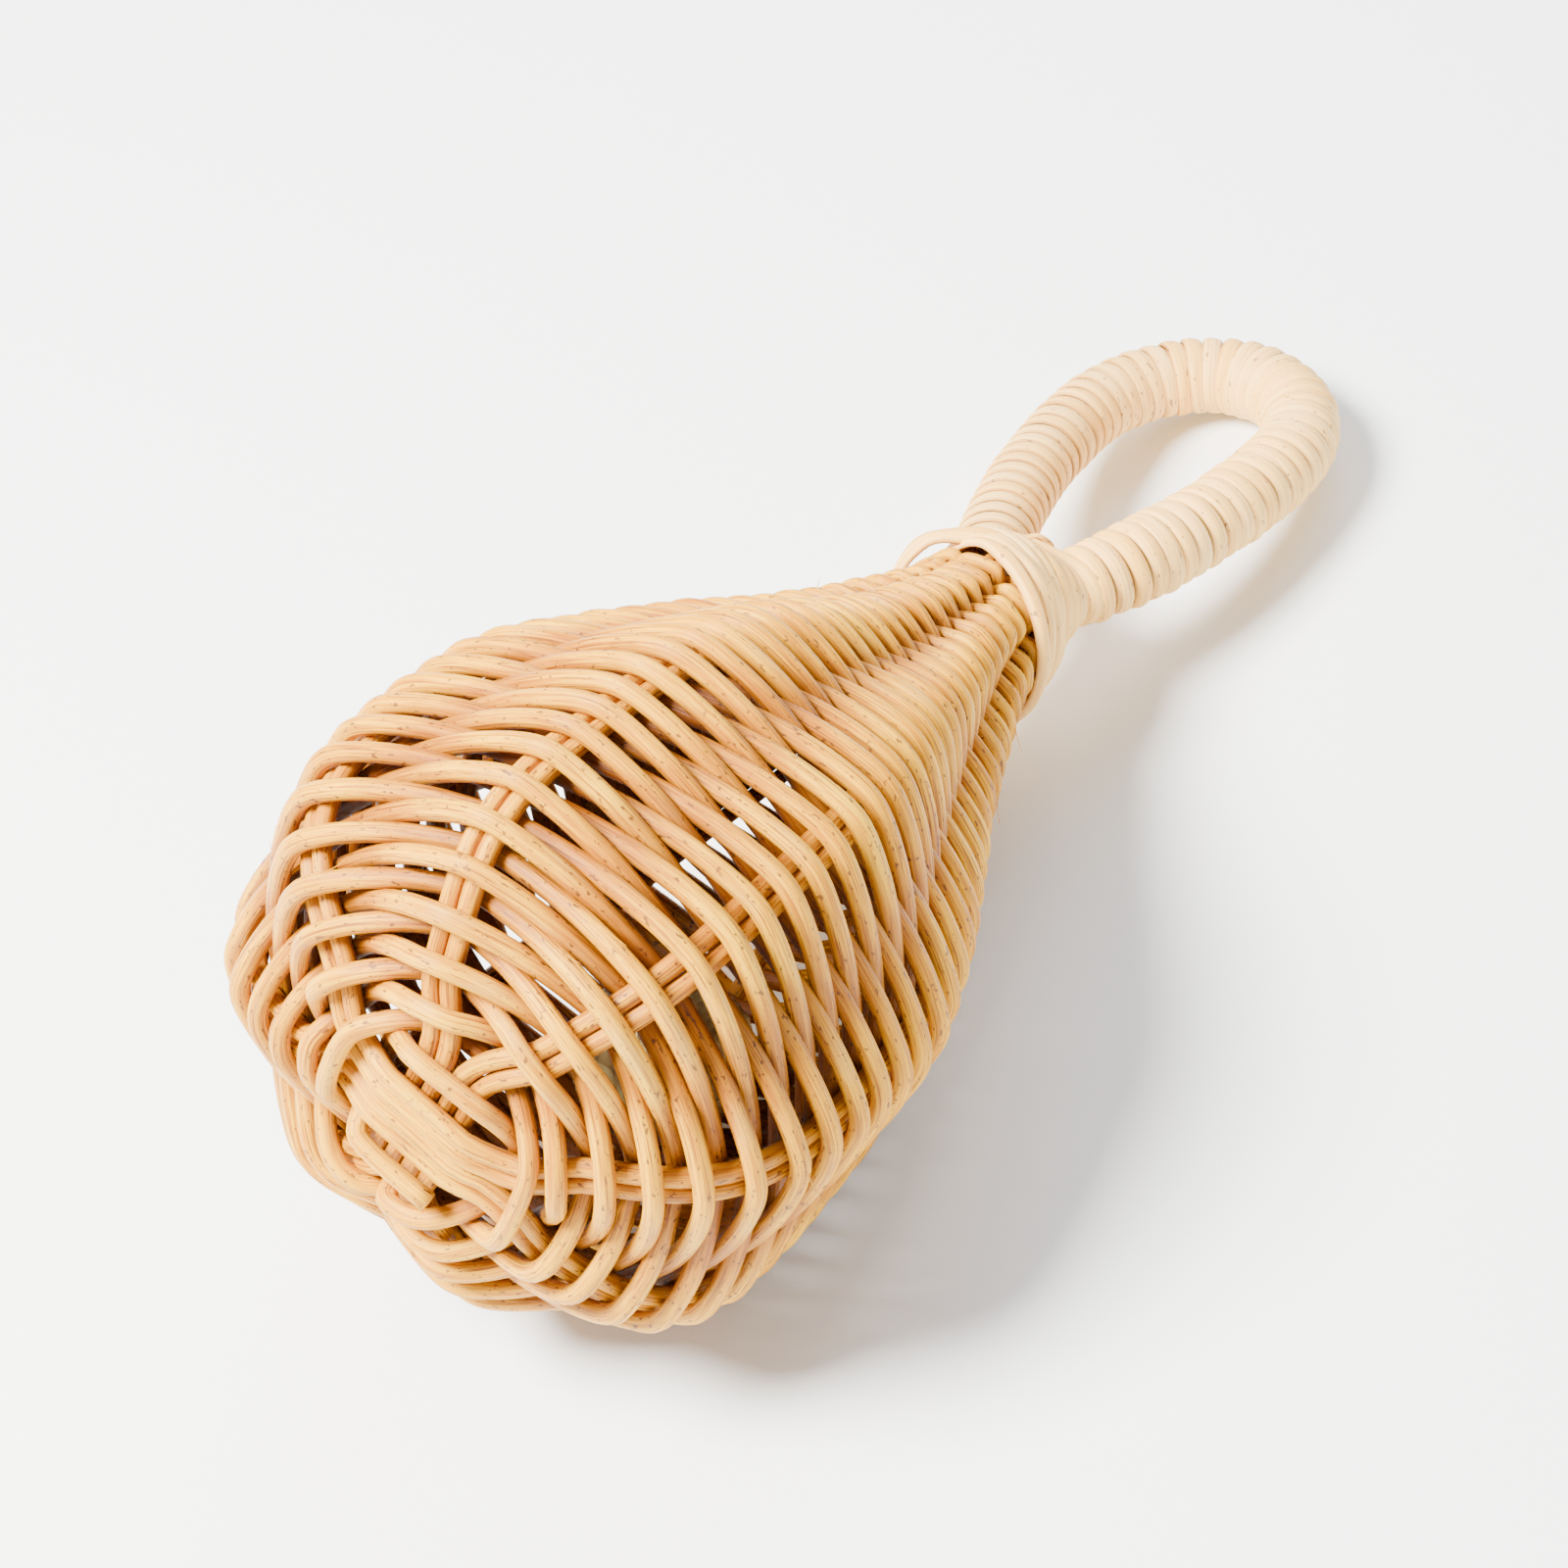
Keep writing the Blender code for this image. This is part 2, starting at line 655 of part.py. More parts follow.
def make_bell(section, shell_metal, ball_metal, collection, cutter_collection, upright):
    """The bell's pieces, parented to an empty at its centre; it stands upright in the world."""
    centre = bpy.data.objects.new("bell_centre", None)
    collection.objects.link(centre)
    centre.location = upright
    upper = turned_shell("bell_upper_shell", 1, shell_metal, collection)
    upper.location = (0.0, 0.0, (BELL_SEAM_GAP / 2 + BELL_WALL) * MM)
    lower = turned_shell("bell_lower_shell", -1, shell_metal, collection)
    lower.location = (0.0, 0.0, -(BELL_SEAM_GAP / 2 + BELL_WALL) * MM)
    cutters = make_slot_cutter(cutter_collection)
    for cutter in cutters:
        cutter.location = (0.0, 0.0, -BELL_RADIUS * MM)
        cutter.parent = centre
        cut = lower.modifiers.new("slot", "BOOLEAN")
        cut.operation = "DIFFERENCE"
        cut.solver = "EXACT"
        cut.object = cutter
    arc = []
    for step in range(13):
        angle = math.pi * step / 12
        foot = BELL_RADIUS + BELL_WALL + 0.45
        arc.append(Vector((2.3 * math.cos(angle), 0.0, foot + 2.6 * math.sin(angle))))
    loop = poly_tube("bell_loop", arc, [BELL_WIRE_RADIUS] * len(arc), section, shell_metal, collection)
    ball = bpy.data.meshes.new("bell_clapper")
    shape = bmesh.new()
    bmesh.ops.create_uvsphere(shape, u_segments=14, v_segments=9, radius=CLAPPER_RADIUS * MM)
    shape.to_mesh(ball)
    shape.free()
    ball.materials.append(ball_metal)
    clapper = bpy.data.objects.new("bell_clapper", ball)
    collection.objects.link(clapper)
    inner_floor = -BELL_RADIUS + 0.25
    clapper.location = (0.0, 0.0, (inner_floor + CLAPPER_RADIUS) * MM)
    for piece in (upper, lower, loop, clapper):
        piece.parent = centre
    return centre


# ---------------------------------------------------------------------------------------------
# Laying the rattle down
# ---------------------------------------------------------------------------------------------

def lowest(points, tilt):
    """The lowest level of points once the rattle lies down, with its tip tilted down by tilt."""
    return float(np.min(-points[:, 2] * math.sin(tilt) - points[:, 0] * math.cos(tilt)))


def resting_tilt(belly, grip):
    """The tilt at which the belly and the grip touch the ground together."""
    low = 0.0
    high = math.radians(40.0)
    for _ in range(50):
        middle = (low + high) / 2
        if lowest(grip, middle) > lowest(belly, middle):
            low = middle
        else:
            high = middle
    return (low + high) / 2


def world_points(objects):
    depsgraph = bpy.context.evaluated_depsgraph_get()
    found = []
    for item in objects:
        evaluated = item.evaluated_get(depsgraph)
        mesh = evaluated.to_mesh()
        matrix = evaluated.matrix_world
        found += [tuple(matrix @ vertex.co) for vertex in mesh.vertices]
        evaluated.to_mesh_clear()
    return np.array(found)


def lay_down(pieces, weavers, grip):
    """Parents the upright pieces to an empty that lays them on the ground, centred on the origin."""
    bpy.context.view_layer.update()
    tilt = resting_tilt(world_points(weavers), world_points([grip]))
    frame = bpy.data.objects.new("lying_frame", None)
    bpy.context.scene.collection.objects.link(frame)
    frame.rotation_euler = (0.0, math.pi / 2 + tilt, 0.0)
    for piece in pieces:
        piece.parent = frame
    bpy.context.view_layer.update()
    points = world_points(pieces)
    low = points.min(axis=0)
    high = points.max(axis=0)
    frame.location = (-(low[0] + high[0]) / 2, -(low[1] + high[1]) / 2, -low[2])
    bpy.context.view_layer.update()
    return frame, tilt


def bell_place(frame, tilt):
    """The bell's centre in the world: clear of the basket's lowest inner wall."""
    length = MERIDIAN.length_at_height(BELL_HEIGHT_ON_AXIS)
    inside = rod_radius(length) + 2 * strand_radius(length) + GAP
    reach = BELL_RADIUS + BELL_WALL + BELL_CLEARANCE
    wall = MERIDIAN.point(length, 0.0, -inside) * MM
    foot = frame.matrix_world @ wall
    return foot + Vector((0.0, 0.0, reach * MM))


def main():
    clear_scene()
    collection = new_collection("hand_rattle")
    cutter_collection = new_collection("cutters")
    rattan = make_material("rattan_natural", (0.72, 0.46, 0.20), 0.55)
    peel = make_material("rattan_bleached", (0.88, 0.72, 0.50), 0.5)
    cane = make_material("rattan_cane", (0.60, 0.42, 0.22), 0.6)
    brass = make_material("bell_metal", (0.62, 0.50, 0.28), 0.4, 1.0)
    steel = make_material("clapper_metal", (0.45, 0.45, 0.45), 0.45, 1.0)
    strand_section = section_curve(5, cutter_collection)
    round_section = section_curve(8, cutter_collection)
    make_rods(strand_section, rattan, collection)
    weavers = make_weavers(strand_section, rattan, collection)
    make_handle_core(round_section, cane, collection)
    grip = make_handle_wrap(peel, collection)
    make_neck_binding(peel, collection)
    make_collar_loops(peel, collection)
    pieces = list(collection.objects)
    frame, tilt = lay_down(pieces, weavers, grip)
    make_bell(round_section, brass, steel, collection, cutter_collection, bell_place(frame, tilt))


main()
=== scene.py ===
"""Looks for a woven rattan hand rattle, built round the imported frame.

Every rattan piece is rebuilt upright, in millimetres, on the same driving lines as in the frame: the
basket's axis is +Z, the base is at height 0, and the loop's width lies along Y. The frame's handle
core says where the upright rattle lies in the world. The pieces are smooth, slightly uneven, and
carry their own fibre coordinates, so that grain and stains follow each strand. They are a little
thicker than the frame's solids, which keep a gap to one another.
"""

import math

import bmesh
import bpy
import numpy as np
from mathutils import Matrix, Vector, noise

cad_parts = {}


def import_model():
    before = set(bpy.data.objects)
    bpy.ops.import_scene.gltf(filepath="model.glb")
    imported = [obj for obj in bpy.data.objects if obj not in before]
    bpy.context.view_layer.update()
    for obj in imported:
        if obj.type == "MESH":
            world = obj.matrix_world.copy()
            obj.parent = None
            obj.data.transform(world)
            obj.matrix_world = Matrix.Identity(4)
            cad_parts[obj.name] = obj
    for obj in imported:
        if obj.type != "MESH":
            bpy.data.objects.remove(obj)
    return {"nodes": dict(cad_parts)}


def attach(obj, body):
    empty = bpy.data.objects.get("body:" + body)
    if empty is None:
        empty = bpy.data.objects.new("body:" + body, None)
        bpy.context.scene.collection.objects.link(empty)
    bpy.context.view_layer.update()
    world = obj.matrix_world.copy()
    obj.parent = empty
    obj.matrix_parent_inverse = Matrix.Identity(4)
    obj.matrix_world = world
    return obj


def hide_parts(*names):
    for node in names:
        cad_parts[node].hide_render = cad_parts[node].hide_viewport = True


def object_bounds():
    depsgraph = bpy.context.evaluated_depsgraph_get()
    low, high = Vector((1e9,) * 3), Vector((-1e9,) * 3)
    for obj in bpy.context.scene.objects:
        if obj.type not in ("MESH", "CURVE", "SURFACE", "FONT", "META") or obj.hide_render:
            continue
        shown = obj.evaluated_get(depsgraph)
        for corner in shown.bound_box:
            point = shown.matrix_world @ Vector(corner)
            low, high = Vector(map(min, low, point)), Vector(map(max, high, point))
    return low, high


MM = 0.001

# Basket, in millimetres: the ribs' middle surface as radius and height.
RIB_PROFILE = [
    (0.0, 2.2), (8.0, 2.3), (14.0, 3.8), (20.4, 6.4), (26.2, 9.6), (30.3, 14.2), (32.1, 20.5),
    (32.2, 31.0), (30.9, 44.0), (25.2, 58.5), (17.9, 74.0), (11.9, 89.0), (8.3, 99.5), (7.1, 105.5),
    (6.6, 111.0),
]
BELLY_HEIGHT = 31.0
ARM_COUNT = 4
RIB_COUNT = 8
BASKET_TWIST = math.radians(29.5)
GAP = 0.06

ROD_RADIUS = 1.06
ROD_RADIUS_NECK = 0.72
ROD_SPACING = 2.12
ROD_SPACING_NECK = 1.5
LAYER_OFFSET = 1.08
CROSS_EDGE = 4.6
CROSS_FADE = 8.8
SPLIT_START = 7.6
SPLIT_END = 18.0

STRAND_RADIUS = 1.1
STRAND_RADIUS_NECK = 0.76
FIRST_ROW_RADIUS = 7.4
LAST_ROW_HEIGHT = 104.0
WEAVE_END_HEIGHT = 107.5
ROW_PITCH_BASE = 2.35
ROW_PITCH_BELLY = 2.12
ROW_PITCH_NECK = 1.5
BEND_LENGTH = 5.0
SPAN_BOW = 0.6
TUBE_SIDES = 12
HAIR_COUNT = 46
HAIR_RADIUS = 0.075
HAIR_STEPS = 8

# How far the weave wanders, over what length, and where the noise is read for x, y and z.
WANDER = 0.75
WANDER_LENGTH = 23.0
WANDER_SHIFTS = [Vector((3.1, 7.7, 1.3)), Vector((41.2, 12.9, 25.6)), Vector((8.4, 63.5, 37.8))]

# Handle and neck, in millimetres. Widths and thicknesses given as a pair run from the first leg,
# which is wound loosely, to the second, which is wound flat.
CANE_RADIUS = 3.7
LEG_RADIUS = 2.15
LEG_SPACING = 4.7
LEG_BEND_HEIGHT = 110.0
LOOP_WIDE_HEIGHT = 152.0
LOOP_TIP_HEIGHT = 169.2
LOOP_HALF_WIDTH = 13.4
WRAP_PITCH = 2.3
WRAP_WIDTH = (2.45, 2.62)
WRAP_THICKNESS = (0.88, 0.56)
WRAP_START_HEIGHT = 117.6
WRAP_CLEARANCE = 0.28
WRAP_LAP = 0.16
WRAP_FACETS = 30
WRAP_SHIFT = 0.2
WRAP_LIFT = 0.13
WRAP_TILT = 0.07
BINDING_TURNS = 7
BINDING_LOW = 108.0
BINDING_HIGH = 117.3
BINDING_WIDTH = 2.35
BINDING_THICKNESS = 1.05
BINDING_CLEARANCE = 0.5
BINDING_LAP = 0.3
BINDING_FACETS = 40
FAN_ANGLE = math.radians(131.0)
FAN_LOW = 3.4
FAN_HIGH = 0.6
SADDLE_HEIGHT = 118.6
SADDLE_LOW = 113.2
SADDLE_WIDTH = 2.45
SADDLE_THICKNESS = 0.8
SADDLE_LANE = 1.15
SADDLE_LAYER = 1.15
SADDLE_STEP = 0.25
SADDLE_SINK = 0.7
SADDLE_STATIONS = 72
COLLAR_LEAN = 0.15
COLLAR_STATIONS = 96
COLLAR_SIZES = [(2.1, 1.1), (2.2, 1.0), (2.5, 0.9)]

# Stage, in metres: half the floor's side, how far it lies under the rattle, and what is lit.
FLOOR_HALF = 3.0
FLOOR_DROP = 0.0006
AIM_POINT = Vector((0.0, 0.0, 0.03))

# Camera: where it stands round the rattle, and what it sees.
CAMERA_AZIMUTH = math.radians(222.6)
CAMERA_ELEVATION = math.radians(44.0)
CAMERA_ROLL = math.radians(-14.9)
CAMERA_DISTANCE = 0.5
CAMERA_FOCAL = 4680.0
CAMERA_AIM = (-12.5, -9.6)
IMAGE_WIDTH = 1600.0
SENSOR_WIDTH = 36.0


def ease(value, low, high):
    """A smooth step from 0 at low to 1 at high."""
    t = min(max((value - low) / (high - low), 0.0), 1.0)
    return t * t * (3.0 - 2.0 * t)


# ---------------------------------------------------------------------------------------------
# The basket's surface
# ---------------------------------------------------------------------------------------------

class Meridian:
    """The ribs' middle surface, measured by its arc length from the centre of the base."""

    def __init__(self, profile):
        points = [Vector((r, z)) for r, z in profile]
        points = [points[0] * 2 - points[1]] + points + [points[-1] * 2 - points[-2]]
        samples = []
        for a, b, c, d in zip(points, points[1:], points[2:], points[3:]):
            for step in range(24):
                samples.append(self.smooth(a, b, c, d, step / 24.0))
        samples.append(points[-2])
        self.table = np.array([tuple(p) for p in samples])
        steps = np.hypot(*np.diff(self.table, axis=0).T)
        self.lengths = np.concatenate([[0.0], np.cumsum(steps)])
        self.total = float(self.lengths[-1])

    @staticmethod
    def smooth(a, b, c, d, t):
        """A point on the smooth curve from b to c, with a and d as its neighbours."""
        return 0.5 * (2 * b + (c - a) * t + (2 * a - 5 * b + 4 * c - d) * t * t
                      + (3 * b - 3 * c + d - a) * t * t * t)

    def at(self, length):
        """Radius, height, and the outward normal's radial and axial parts."""
        radius = float(np.interp(length, self.lengths, self.table[:, 0]))
        height = float(np.interp(length, self.lengths, self.table[:, 1]))
        near = min(max(length, 0.6), self.total - 0.6)
        d_radius = np.interp(near + 0.5, self.lengths, self.table[:, 0])
        d_radius -= np.interp(near - 0.5, self.lengths, self.table[:, 0])
        d_height = np.interp(near + 0.5, self.lengths, self.table[:, 1])
        d_height -= np.interp(near - 0.5, self.lengths, self.table[:, 1])
        size = math.hypot(d_radius, d_height)
        return radius, height, float(d_height / size), float(-d_radius / size)

    def length_at_height(self, height):
        upper = self.table[:, 1] > 3.0
        return float(np.interp(height, self.table[upper, 1], self.lengths[upper]))

    def length_at_radius(self, radius):
        """The arc length where the base first reaches this radius."""
        widest = int(np.argmax(self.table[:, 0]))
        return float(np.interp(radius, self.table[:widest, 0], self.lengths[:widest]))

    def point(self, length, angle, offset=0.0):
        """A point at this arc length and angle, moved outwards along the normal."""
        radius, height, n_radial, n_axial = self.at(length)
        reach = radius + offset * n_radial
        return Vector((reach * math.cos(angle), reach * math.sin(angle), height + offset * n_axial))


MERIDIAN = Meridian(RIB_PROFILE)
NECK_LENGTH = MERIDIAN.length_at_height(LAST_ROW_HEIGHT)
WEAVE_END_LENGTH = MERIDIAN.length_at_height(WEAVE_END_HEIGHT)
BELLY_LENGTH = MERIDIAN.length_at_height(BELLY_HEIGHT)


def taper(length, thick, thin):
    """A size that stays thick in the belly and thins towards the neck."""
    return thick + (thin - thick) * ease(length, BELLY_LENGTH + 22.0, NECK_LENGTH + 8.0)


def rod_radius(length):
    return taper(length, ROD_RADIUS, ROD_RADIUS_NECK)


def rod_spacing(length):
    return taper(length, ROD_SPACING, ROD_SPACING_NECK)


def strand_radius(length):
    return taper(length, STRAND_RADIUS, STRAND_RADIUS_NECK)


def pair_swing(length):
    """The angle between the middle of a rod pair and its arm's centre line."""
    on_rib = MERIDIAN.at(length)[0] * math.sin(math.pi / RIB_COUNT)
    offset = ROD_SPACING + (on_rib - ROD_SPACING) * ease(length, SPLIT_START, SPLIT_END)
    return math.asin(min(offset / MERIDIAN.at(length)[0], 0.9))


def pair_reach(length):
    """Half the distance between a pair's rods, measured round the basket where they run askew."""
    drift = (pair_swing(length + 0.5) - pair_swing(length - 0.5)) * MERIDIAN.at(length)[0]
    return rod_spacing(length) / 2 * math.hypot(1.0, drift)


def rod_swing(length, lane):
    """A rod's angle from its arm's centre line, outside the cross at the base."""
    half_gap = pair_reach(length) / MERIDIAN.at(length)[0]
    return pair_swing(length) + (half_gap if abs(lane) > 1.0 else -half_gap)


def handmade(point):
    """Moves a point of the basket a little, so that the whole weave is slightly uneven."""
    share = ease(point.z, 0.0, 12.0) * (1.0 - ease(point.z, 88.0, 104.0))
    slow = Vector([noise.noise(point / WANDER_LENGTH + shift) for shift in WANDER_SHIFTS])
    return point + slow * WANDER * share


# ---------------------------------------------------------------------------------------------
# Strands and strips as meshes
# ---------------------------------------------------------------------------------------------

def lengths_along(points):
    steps = np.linalg.norm(np.diff(points, axis=0), axis=1)
    return np.concatenate([[0.0], np.cumsum(steps)])


def carried_frames(points):
    """Two unit vectors square to the line at each point, carried along it without twist."""
    along = np.gradient(points, axis=0)
    along /= np.linalg.norm(along, axis=1)[:, None]
    start = np.cross(along[0], (0.3, 0.2, 1.0))
    vectors = [start / np.linalg.norm(start)]
    for direction in along[1:]:
        vector = vectors[-1] - direction * vectors[-1].dot(direction)
        vectors.append(vector / np.linalg.norm(vector))
    first = np.array(vectors)
    return first, np.cross(along, first)


def slow_wave(lengths, seed, period):
    """A smooth uneven wave between about -1 and 1 along a strand, always the same for one seed."""
    return np.array([noise.noise(Vector((x / period, seed * 3.7, 0.5))) * 1.6 for x in lengths])


def skin(rings, closed_ends=True):
    """Faces between rings of the same number of points, capped, or closed into one long ring."""
    count, sides = rings
    faces = []
    for ring in range(count - 1):
        for side in range(sides):
            onward = (side + 1) % sides
            a = ring * sides
            b = a + sides
            faces.append((a + side, a + onward, b + onward, b + side))
    if closed_ends:
        faces.append(tuple(range(sides - 1, -1, -1)))
        faces.append(tuple(range((count - 1) * sides, count * sides)))
    else:
        a = (count - 1) * sides
        for side in range(sides):
            onward = (side + 1) % sides
            faces.append((a + side, a + onward, onward, side))
    return faces


def tube_shape(points, radii, sides, seed):
    """Vertices, faces and fibre coordinates of a slightly uneven round strand."""
    points = np.array([tuple(p) for p in points])
    lengths = lengths_along(points)
    first, second = carried_frames(points)
    angles = np.linspace(0.0, 2 * math.pi, sides, endpoint=False)
    swell = 1.0 + 0.045 * slow_wave(lengths, seed, 17.0)
    oval = 0.05 * slow_wave(lengths, seed + 0.31, 29.0)
    turn = 2.0 * slow_wave(lengths, seed + 0.77, 60.0)
    shape = 1.0 + oval[:, None] * np.cos(2 * (angles[None, :] - turn[:, None]))
    reach = (np.array(radii) * swell)[:, None] * shape
    across = reach * np.cos(angles)
    upward = reach * np.sin(angles)
    verts = points[:, None, :] + first[:, None, :] * across[..., None]
    verts = verts + second[:, None, :] * upward[..., None]
    run = np.broadcast_to(lengths[:, None] + seed * 211.0, across.shape)
    fibre = np.stack([across, upward, run], axis=-1)
    return verts.reshape(-1, 3), skin((len(points), sides)), fibre.reshape(-1, 3)


STRIP_SECTION = [(-1.0, 0.08), (-0.93, 0.42), (-0.74, 0.74), (-0.42, 0.94), (0.0, 1.0), (0.42, 0.94),
                 (0.74, 0.74), (0.93, 0.42), (1.0, 0.08), (0.8, 0.0), (-0.8, 0.0)]


def strip_shape(places, width, thickness, seed, closed=False):
    """Vertices, faces and fibre coordinates of a crowned strip, whose width and thickness may vary."""
    centres = np.array([tuple(p[0]) for p in places])
    outward = np.array([tuple(p[1]) for p in places])
    across = np.array([tuple(p[2]) for p in places])
    lengths = lengths_along(centres)
    widths = np.broadcast_to(np.array(width, float), (len(places),))
    widths = widths * (1.0 + 0.05 * slow_wave(lengths, seed, 13.0))
    section = np.array(STRIP_SECTION)
    side = section[None, :, 0] * widths[:, None] / 2
    thicknesses = np.broadcast_to(np.array(thickness, float), (len(places),))
    lift = section[None, :, 1] * thicknesses[:, None]
    verts = centres[:, None, :] + across[:, None, :] * side[..., None]
    verts = verts + outward[:, None, :] * lift[..., None]
    run = np.broadcast_to(lengths[:, None] + seed * 211.0, side.shape)
    fibre = np.stack([side, lift, run], axis=-1)
    faces = skin((len(places), len(section)), not closed)
    return verts.reshape(-1, 3), faces, fibre.reshape(-1, 3)


def join_shapes(shapes):
    verts = []
    faces = []
    fibre = []
    start = 0
    for some_verts, some_faces, some_fibre in shapes:
        verts.append(some_verts)
        fibre.append(some_fibre)
        faces += [tuple(start + index for index in face) for face in some_faces]
        start += len(some_verts)
    return np.concatenate(verts), faces, np.concatenate(fibre)


def depth_outwards(verts):
    """How far each vertex stands outside the ribs' middle surface; negative inside the basket."""
    table = MERIDIAN.table[::3]
    run = np.gradient(table, axis=0)
    run /= np.linalg.norm(run, axis=1)[:, None]
    normals = np.stack([run[:, 1], -run[:, 0]], axis=-1)
    flat = np.stack([np.hypot(verts[:, 0], verts[:, 1]), verts[:, 2]], axis=-1)
    depths = []
    for part in np.array_split(flat, max(len(flat) // 4000, 1)):
        gaps = part[:, None, :] - table[None, :, :]
        nearest = np.argmin((gaps ** 2).sum(axis=-1), axis=1)
        rows = np.arange(len(part))
        depths.append((gaps[rows, nearest] * normals[nearest]).sum(axis=-1))
    return np.concatenate(depths)


def make_piece(name, shape, material, place, body, slot, replaced):
    """Turns a shape in upright millimetres into a smooth piece that rides on a body of the frame."""
    verts, faces, fibre = shape
    mesh = bpy.data.meshes.new(name)
    mesh.from_pydata([tuple(v) for v in verts * MM], [], faces)
    attribute = mesh.attributes.new("fibre", "FLOAT_VECTOR", "POINT")
    attribute.data.foreach_set("vector", fibre.astype(np.float32).ravel())
    # The depth outwards is read by the natural rattan material for its painted shade.
    if slot == "rattan_natural":
        depth = mesh.attributes.new("depth", "FLOAT", "POINT")
        depth.data.foreach_set("value", depth_outwards(verts).astype(np.float32))
    mesh.transform(place)
    tidy = bmesh.new()
    tidy.from_mesh(mesh)
    bmesh.ops.recalc_face_normals(tidy, faces=tidy.faces)
    tidy.to_mesh(mesh)
    tidy.free()
    mesh.polygons.foreach_set("use_smooth", [True] * len(mesh.polygons))
    mesh.materials.append(material)
    piece = bpy.data.objects.new(name, mesh)
    bpy.context.scene.collection.objects.link(piece)
    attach(piece, body)
    if replaced:
        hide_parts(*replaced)


# ---------------------------------------------------------------------------------------------
# Basket
# ---------------------------------------------------------------------------------------------

def rod_half(arm_angle, lane, outer_bundle):
    """One half of a rod, from the centre of the base to the neck."""
    points = []
    radii = []
    side = 1.0 if lane > 0 else -1.0
    stations = list(np.arange(0.0, MERIDIAN.total, 1.6)) + [MERIDIAN.total]
    for length in stations:
        layer = LAYER_OFFSET * (1.0 - ease(length, CROSS_EDGE, CROSS_FADE))
        layer = layer if outer_bundle else -layer
        if length < CROSS_FADE:
            height = MERIDIAN.at(length)[1]
            straight = Vector((length, lane * ROD_SPACING, height - layer))
            point = Matrix.Rotation(arm_angle, 3, "Z") @ straight
        else:
            angle = arm_angle + side * rod_swing(length, lane)
            point = MERIDIAN.point(length, angle, layer)
        points.append(handmade(point))
        radii.append(rod_radius(length))
    return points, radii


def make_rods(material, place):
    """Eight rods: four side by side in each of two bundles that cross at the base."""
    number = 0
    for bundle in range(2):
        outer = bundle == 0
        arm = BASKET_TWIST + math.radians(90.0 if outer else 0.0)
        for lane in (-1.5, -0.5, 0.5, 1.5):
            number += 1
            one, one_radii = rod_half(arm, lane, outer)
            other, other_radii = rod_half(arm + math.pi, -lane, outer)
            points = other[:0:-1] + one
            radii = other_radii[:0:-1] + one_radii
            shape = tube_shape(points, radii, TUBE_SIDES, 40.0 + number)
            node = "stake_rod_%d" % number
            make_piece("rattan_rod_%d" % number, shape, material, place, "basket",
                       "rattan_natural", [node])


def taut_span(bend_radius, spacing, reach, clearance):
    """Where a taut strand leaves the front of one rib and meets the back of the next.

    The ribs stand spacing apart on a circle of bend_radius, each as wide as two rods whose centres
    lie reach either side of its middle. Returns two pairs: the distance from each rib's middle
    along the surface, and the offset from the surface.
    """
    step = spacing / bend_radius
    rod_angle = reach / bend_radius
    first = Vector((math.sin(rod_angle), math.cos(rod_angle))) * bend_radius
    second_angle = step - rod_angle
    second = Vector((math.sin(second_angle), math.cos(second_angle))) * bend_radius
    middle = (first + second) / 2
    chord = second - first
    swing = math.asin(min(2 * clearance / chord.length, 0.97))
    line = Vector((chord.x * math.cos(swing) + chord.y * math.sin(swing),
                   chord.y * math.cos(swing) - chord.x * math.sin(swing)))
    results = []
    for angle, sign in ((0.0, 1.0), (step, -1.0)):
        outward = Vector((math.sin(angle), math.cos(angle)))
        level = bend_radius * math.cos(rod_angle) + sign * clearance
        travel = (level - middle.dot(outward)) / line.dot(outward)
        knuckle = middle + line * travel
        turned = math.atan2(knuckle.x, knuckle.y) - angle
        results.append((abs(turned) * bend_radius, knuckle.length - bend_radius))
    return results


def row_length(row):
    """The arc length of a row: rows are wide apart near the base and close near the neck."""
    start = MERIDIAN.length_at_radius(FIRST_ROW_RADIUS)
    length = start
    done = 0.0
    while done < row - 1e-9:
        step = min(0.25, row - done)
        shoulder = ease(length, start, BELLY_LENGTH)
        pitch = ROW_PITCH_BASE + (ROW_PITCH_BELLY - ROW_PITCH_BASE) * shoulder
        pitch = taper(length, pitch, ROW_PITCH_NECK)
        length += pitch * step
        done += step
    return length


def rib_angle(length, rib):
    """The angle of a rib: near the base, the two ribs of an arm lie closer together."""
    arm = (rib // 2) * math.pi / 2
    swing = pair_swing(length)
    return arm + (-swing if rib % 2 == 0 else swing)


def crossings(weaver, row_table):
    """Each crossing of a weaver: its turn angle, arc length, half width, crown, and front or back.

    The crown is how far an arm's inner rods stand out beyond its outer ones.
    """
    found = []
    row = float(weaver)
    turn = 0
    while True:
        arm_stage = turn == 0
        count = ARM_COUNT if arm_stage else RIB_COUNT
        for index in range(count):
            guess = row + 2.0 * index / count
            length = float(np.interp(guess, row_table[0], row_table[1]))
            if length > WEAVE_END_LENGTH:
                return found
            if arm_stage:
                angle = index * math.pi / 2
                reach = MERIDIAN.at(length)[0] * rod_swing(length, 1.5)
                inner = MERIDIAN.at(length)[0] * rod_swing(length, 0.5)
            else:
                angle = rib_angle(length, index)
                reach = pair_reach(length)
                inner = reach
            front = (index + weaver) % 2 == 0
            radius, _, n_radial, _ = MERIDIAN.at(length)
            crown = (reach * reach - inner * inner) * n_radial / radius / 2
            found.append((angle + 2 * math.pi * turn, length, reach, crown, front))
        row += 2.0
        turn += 1


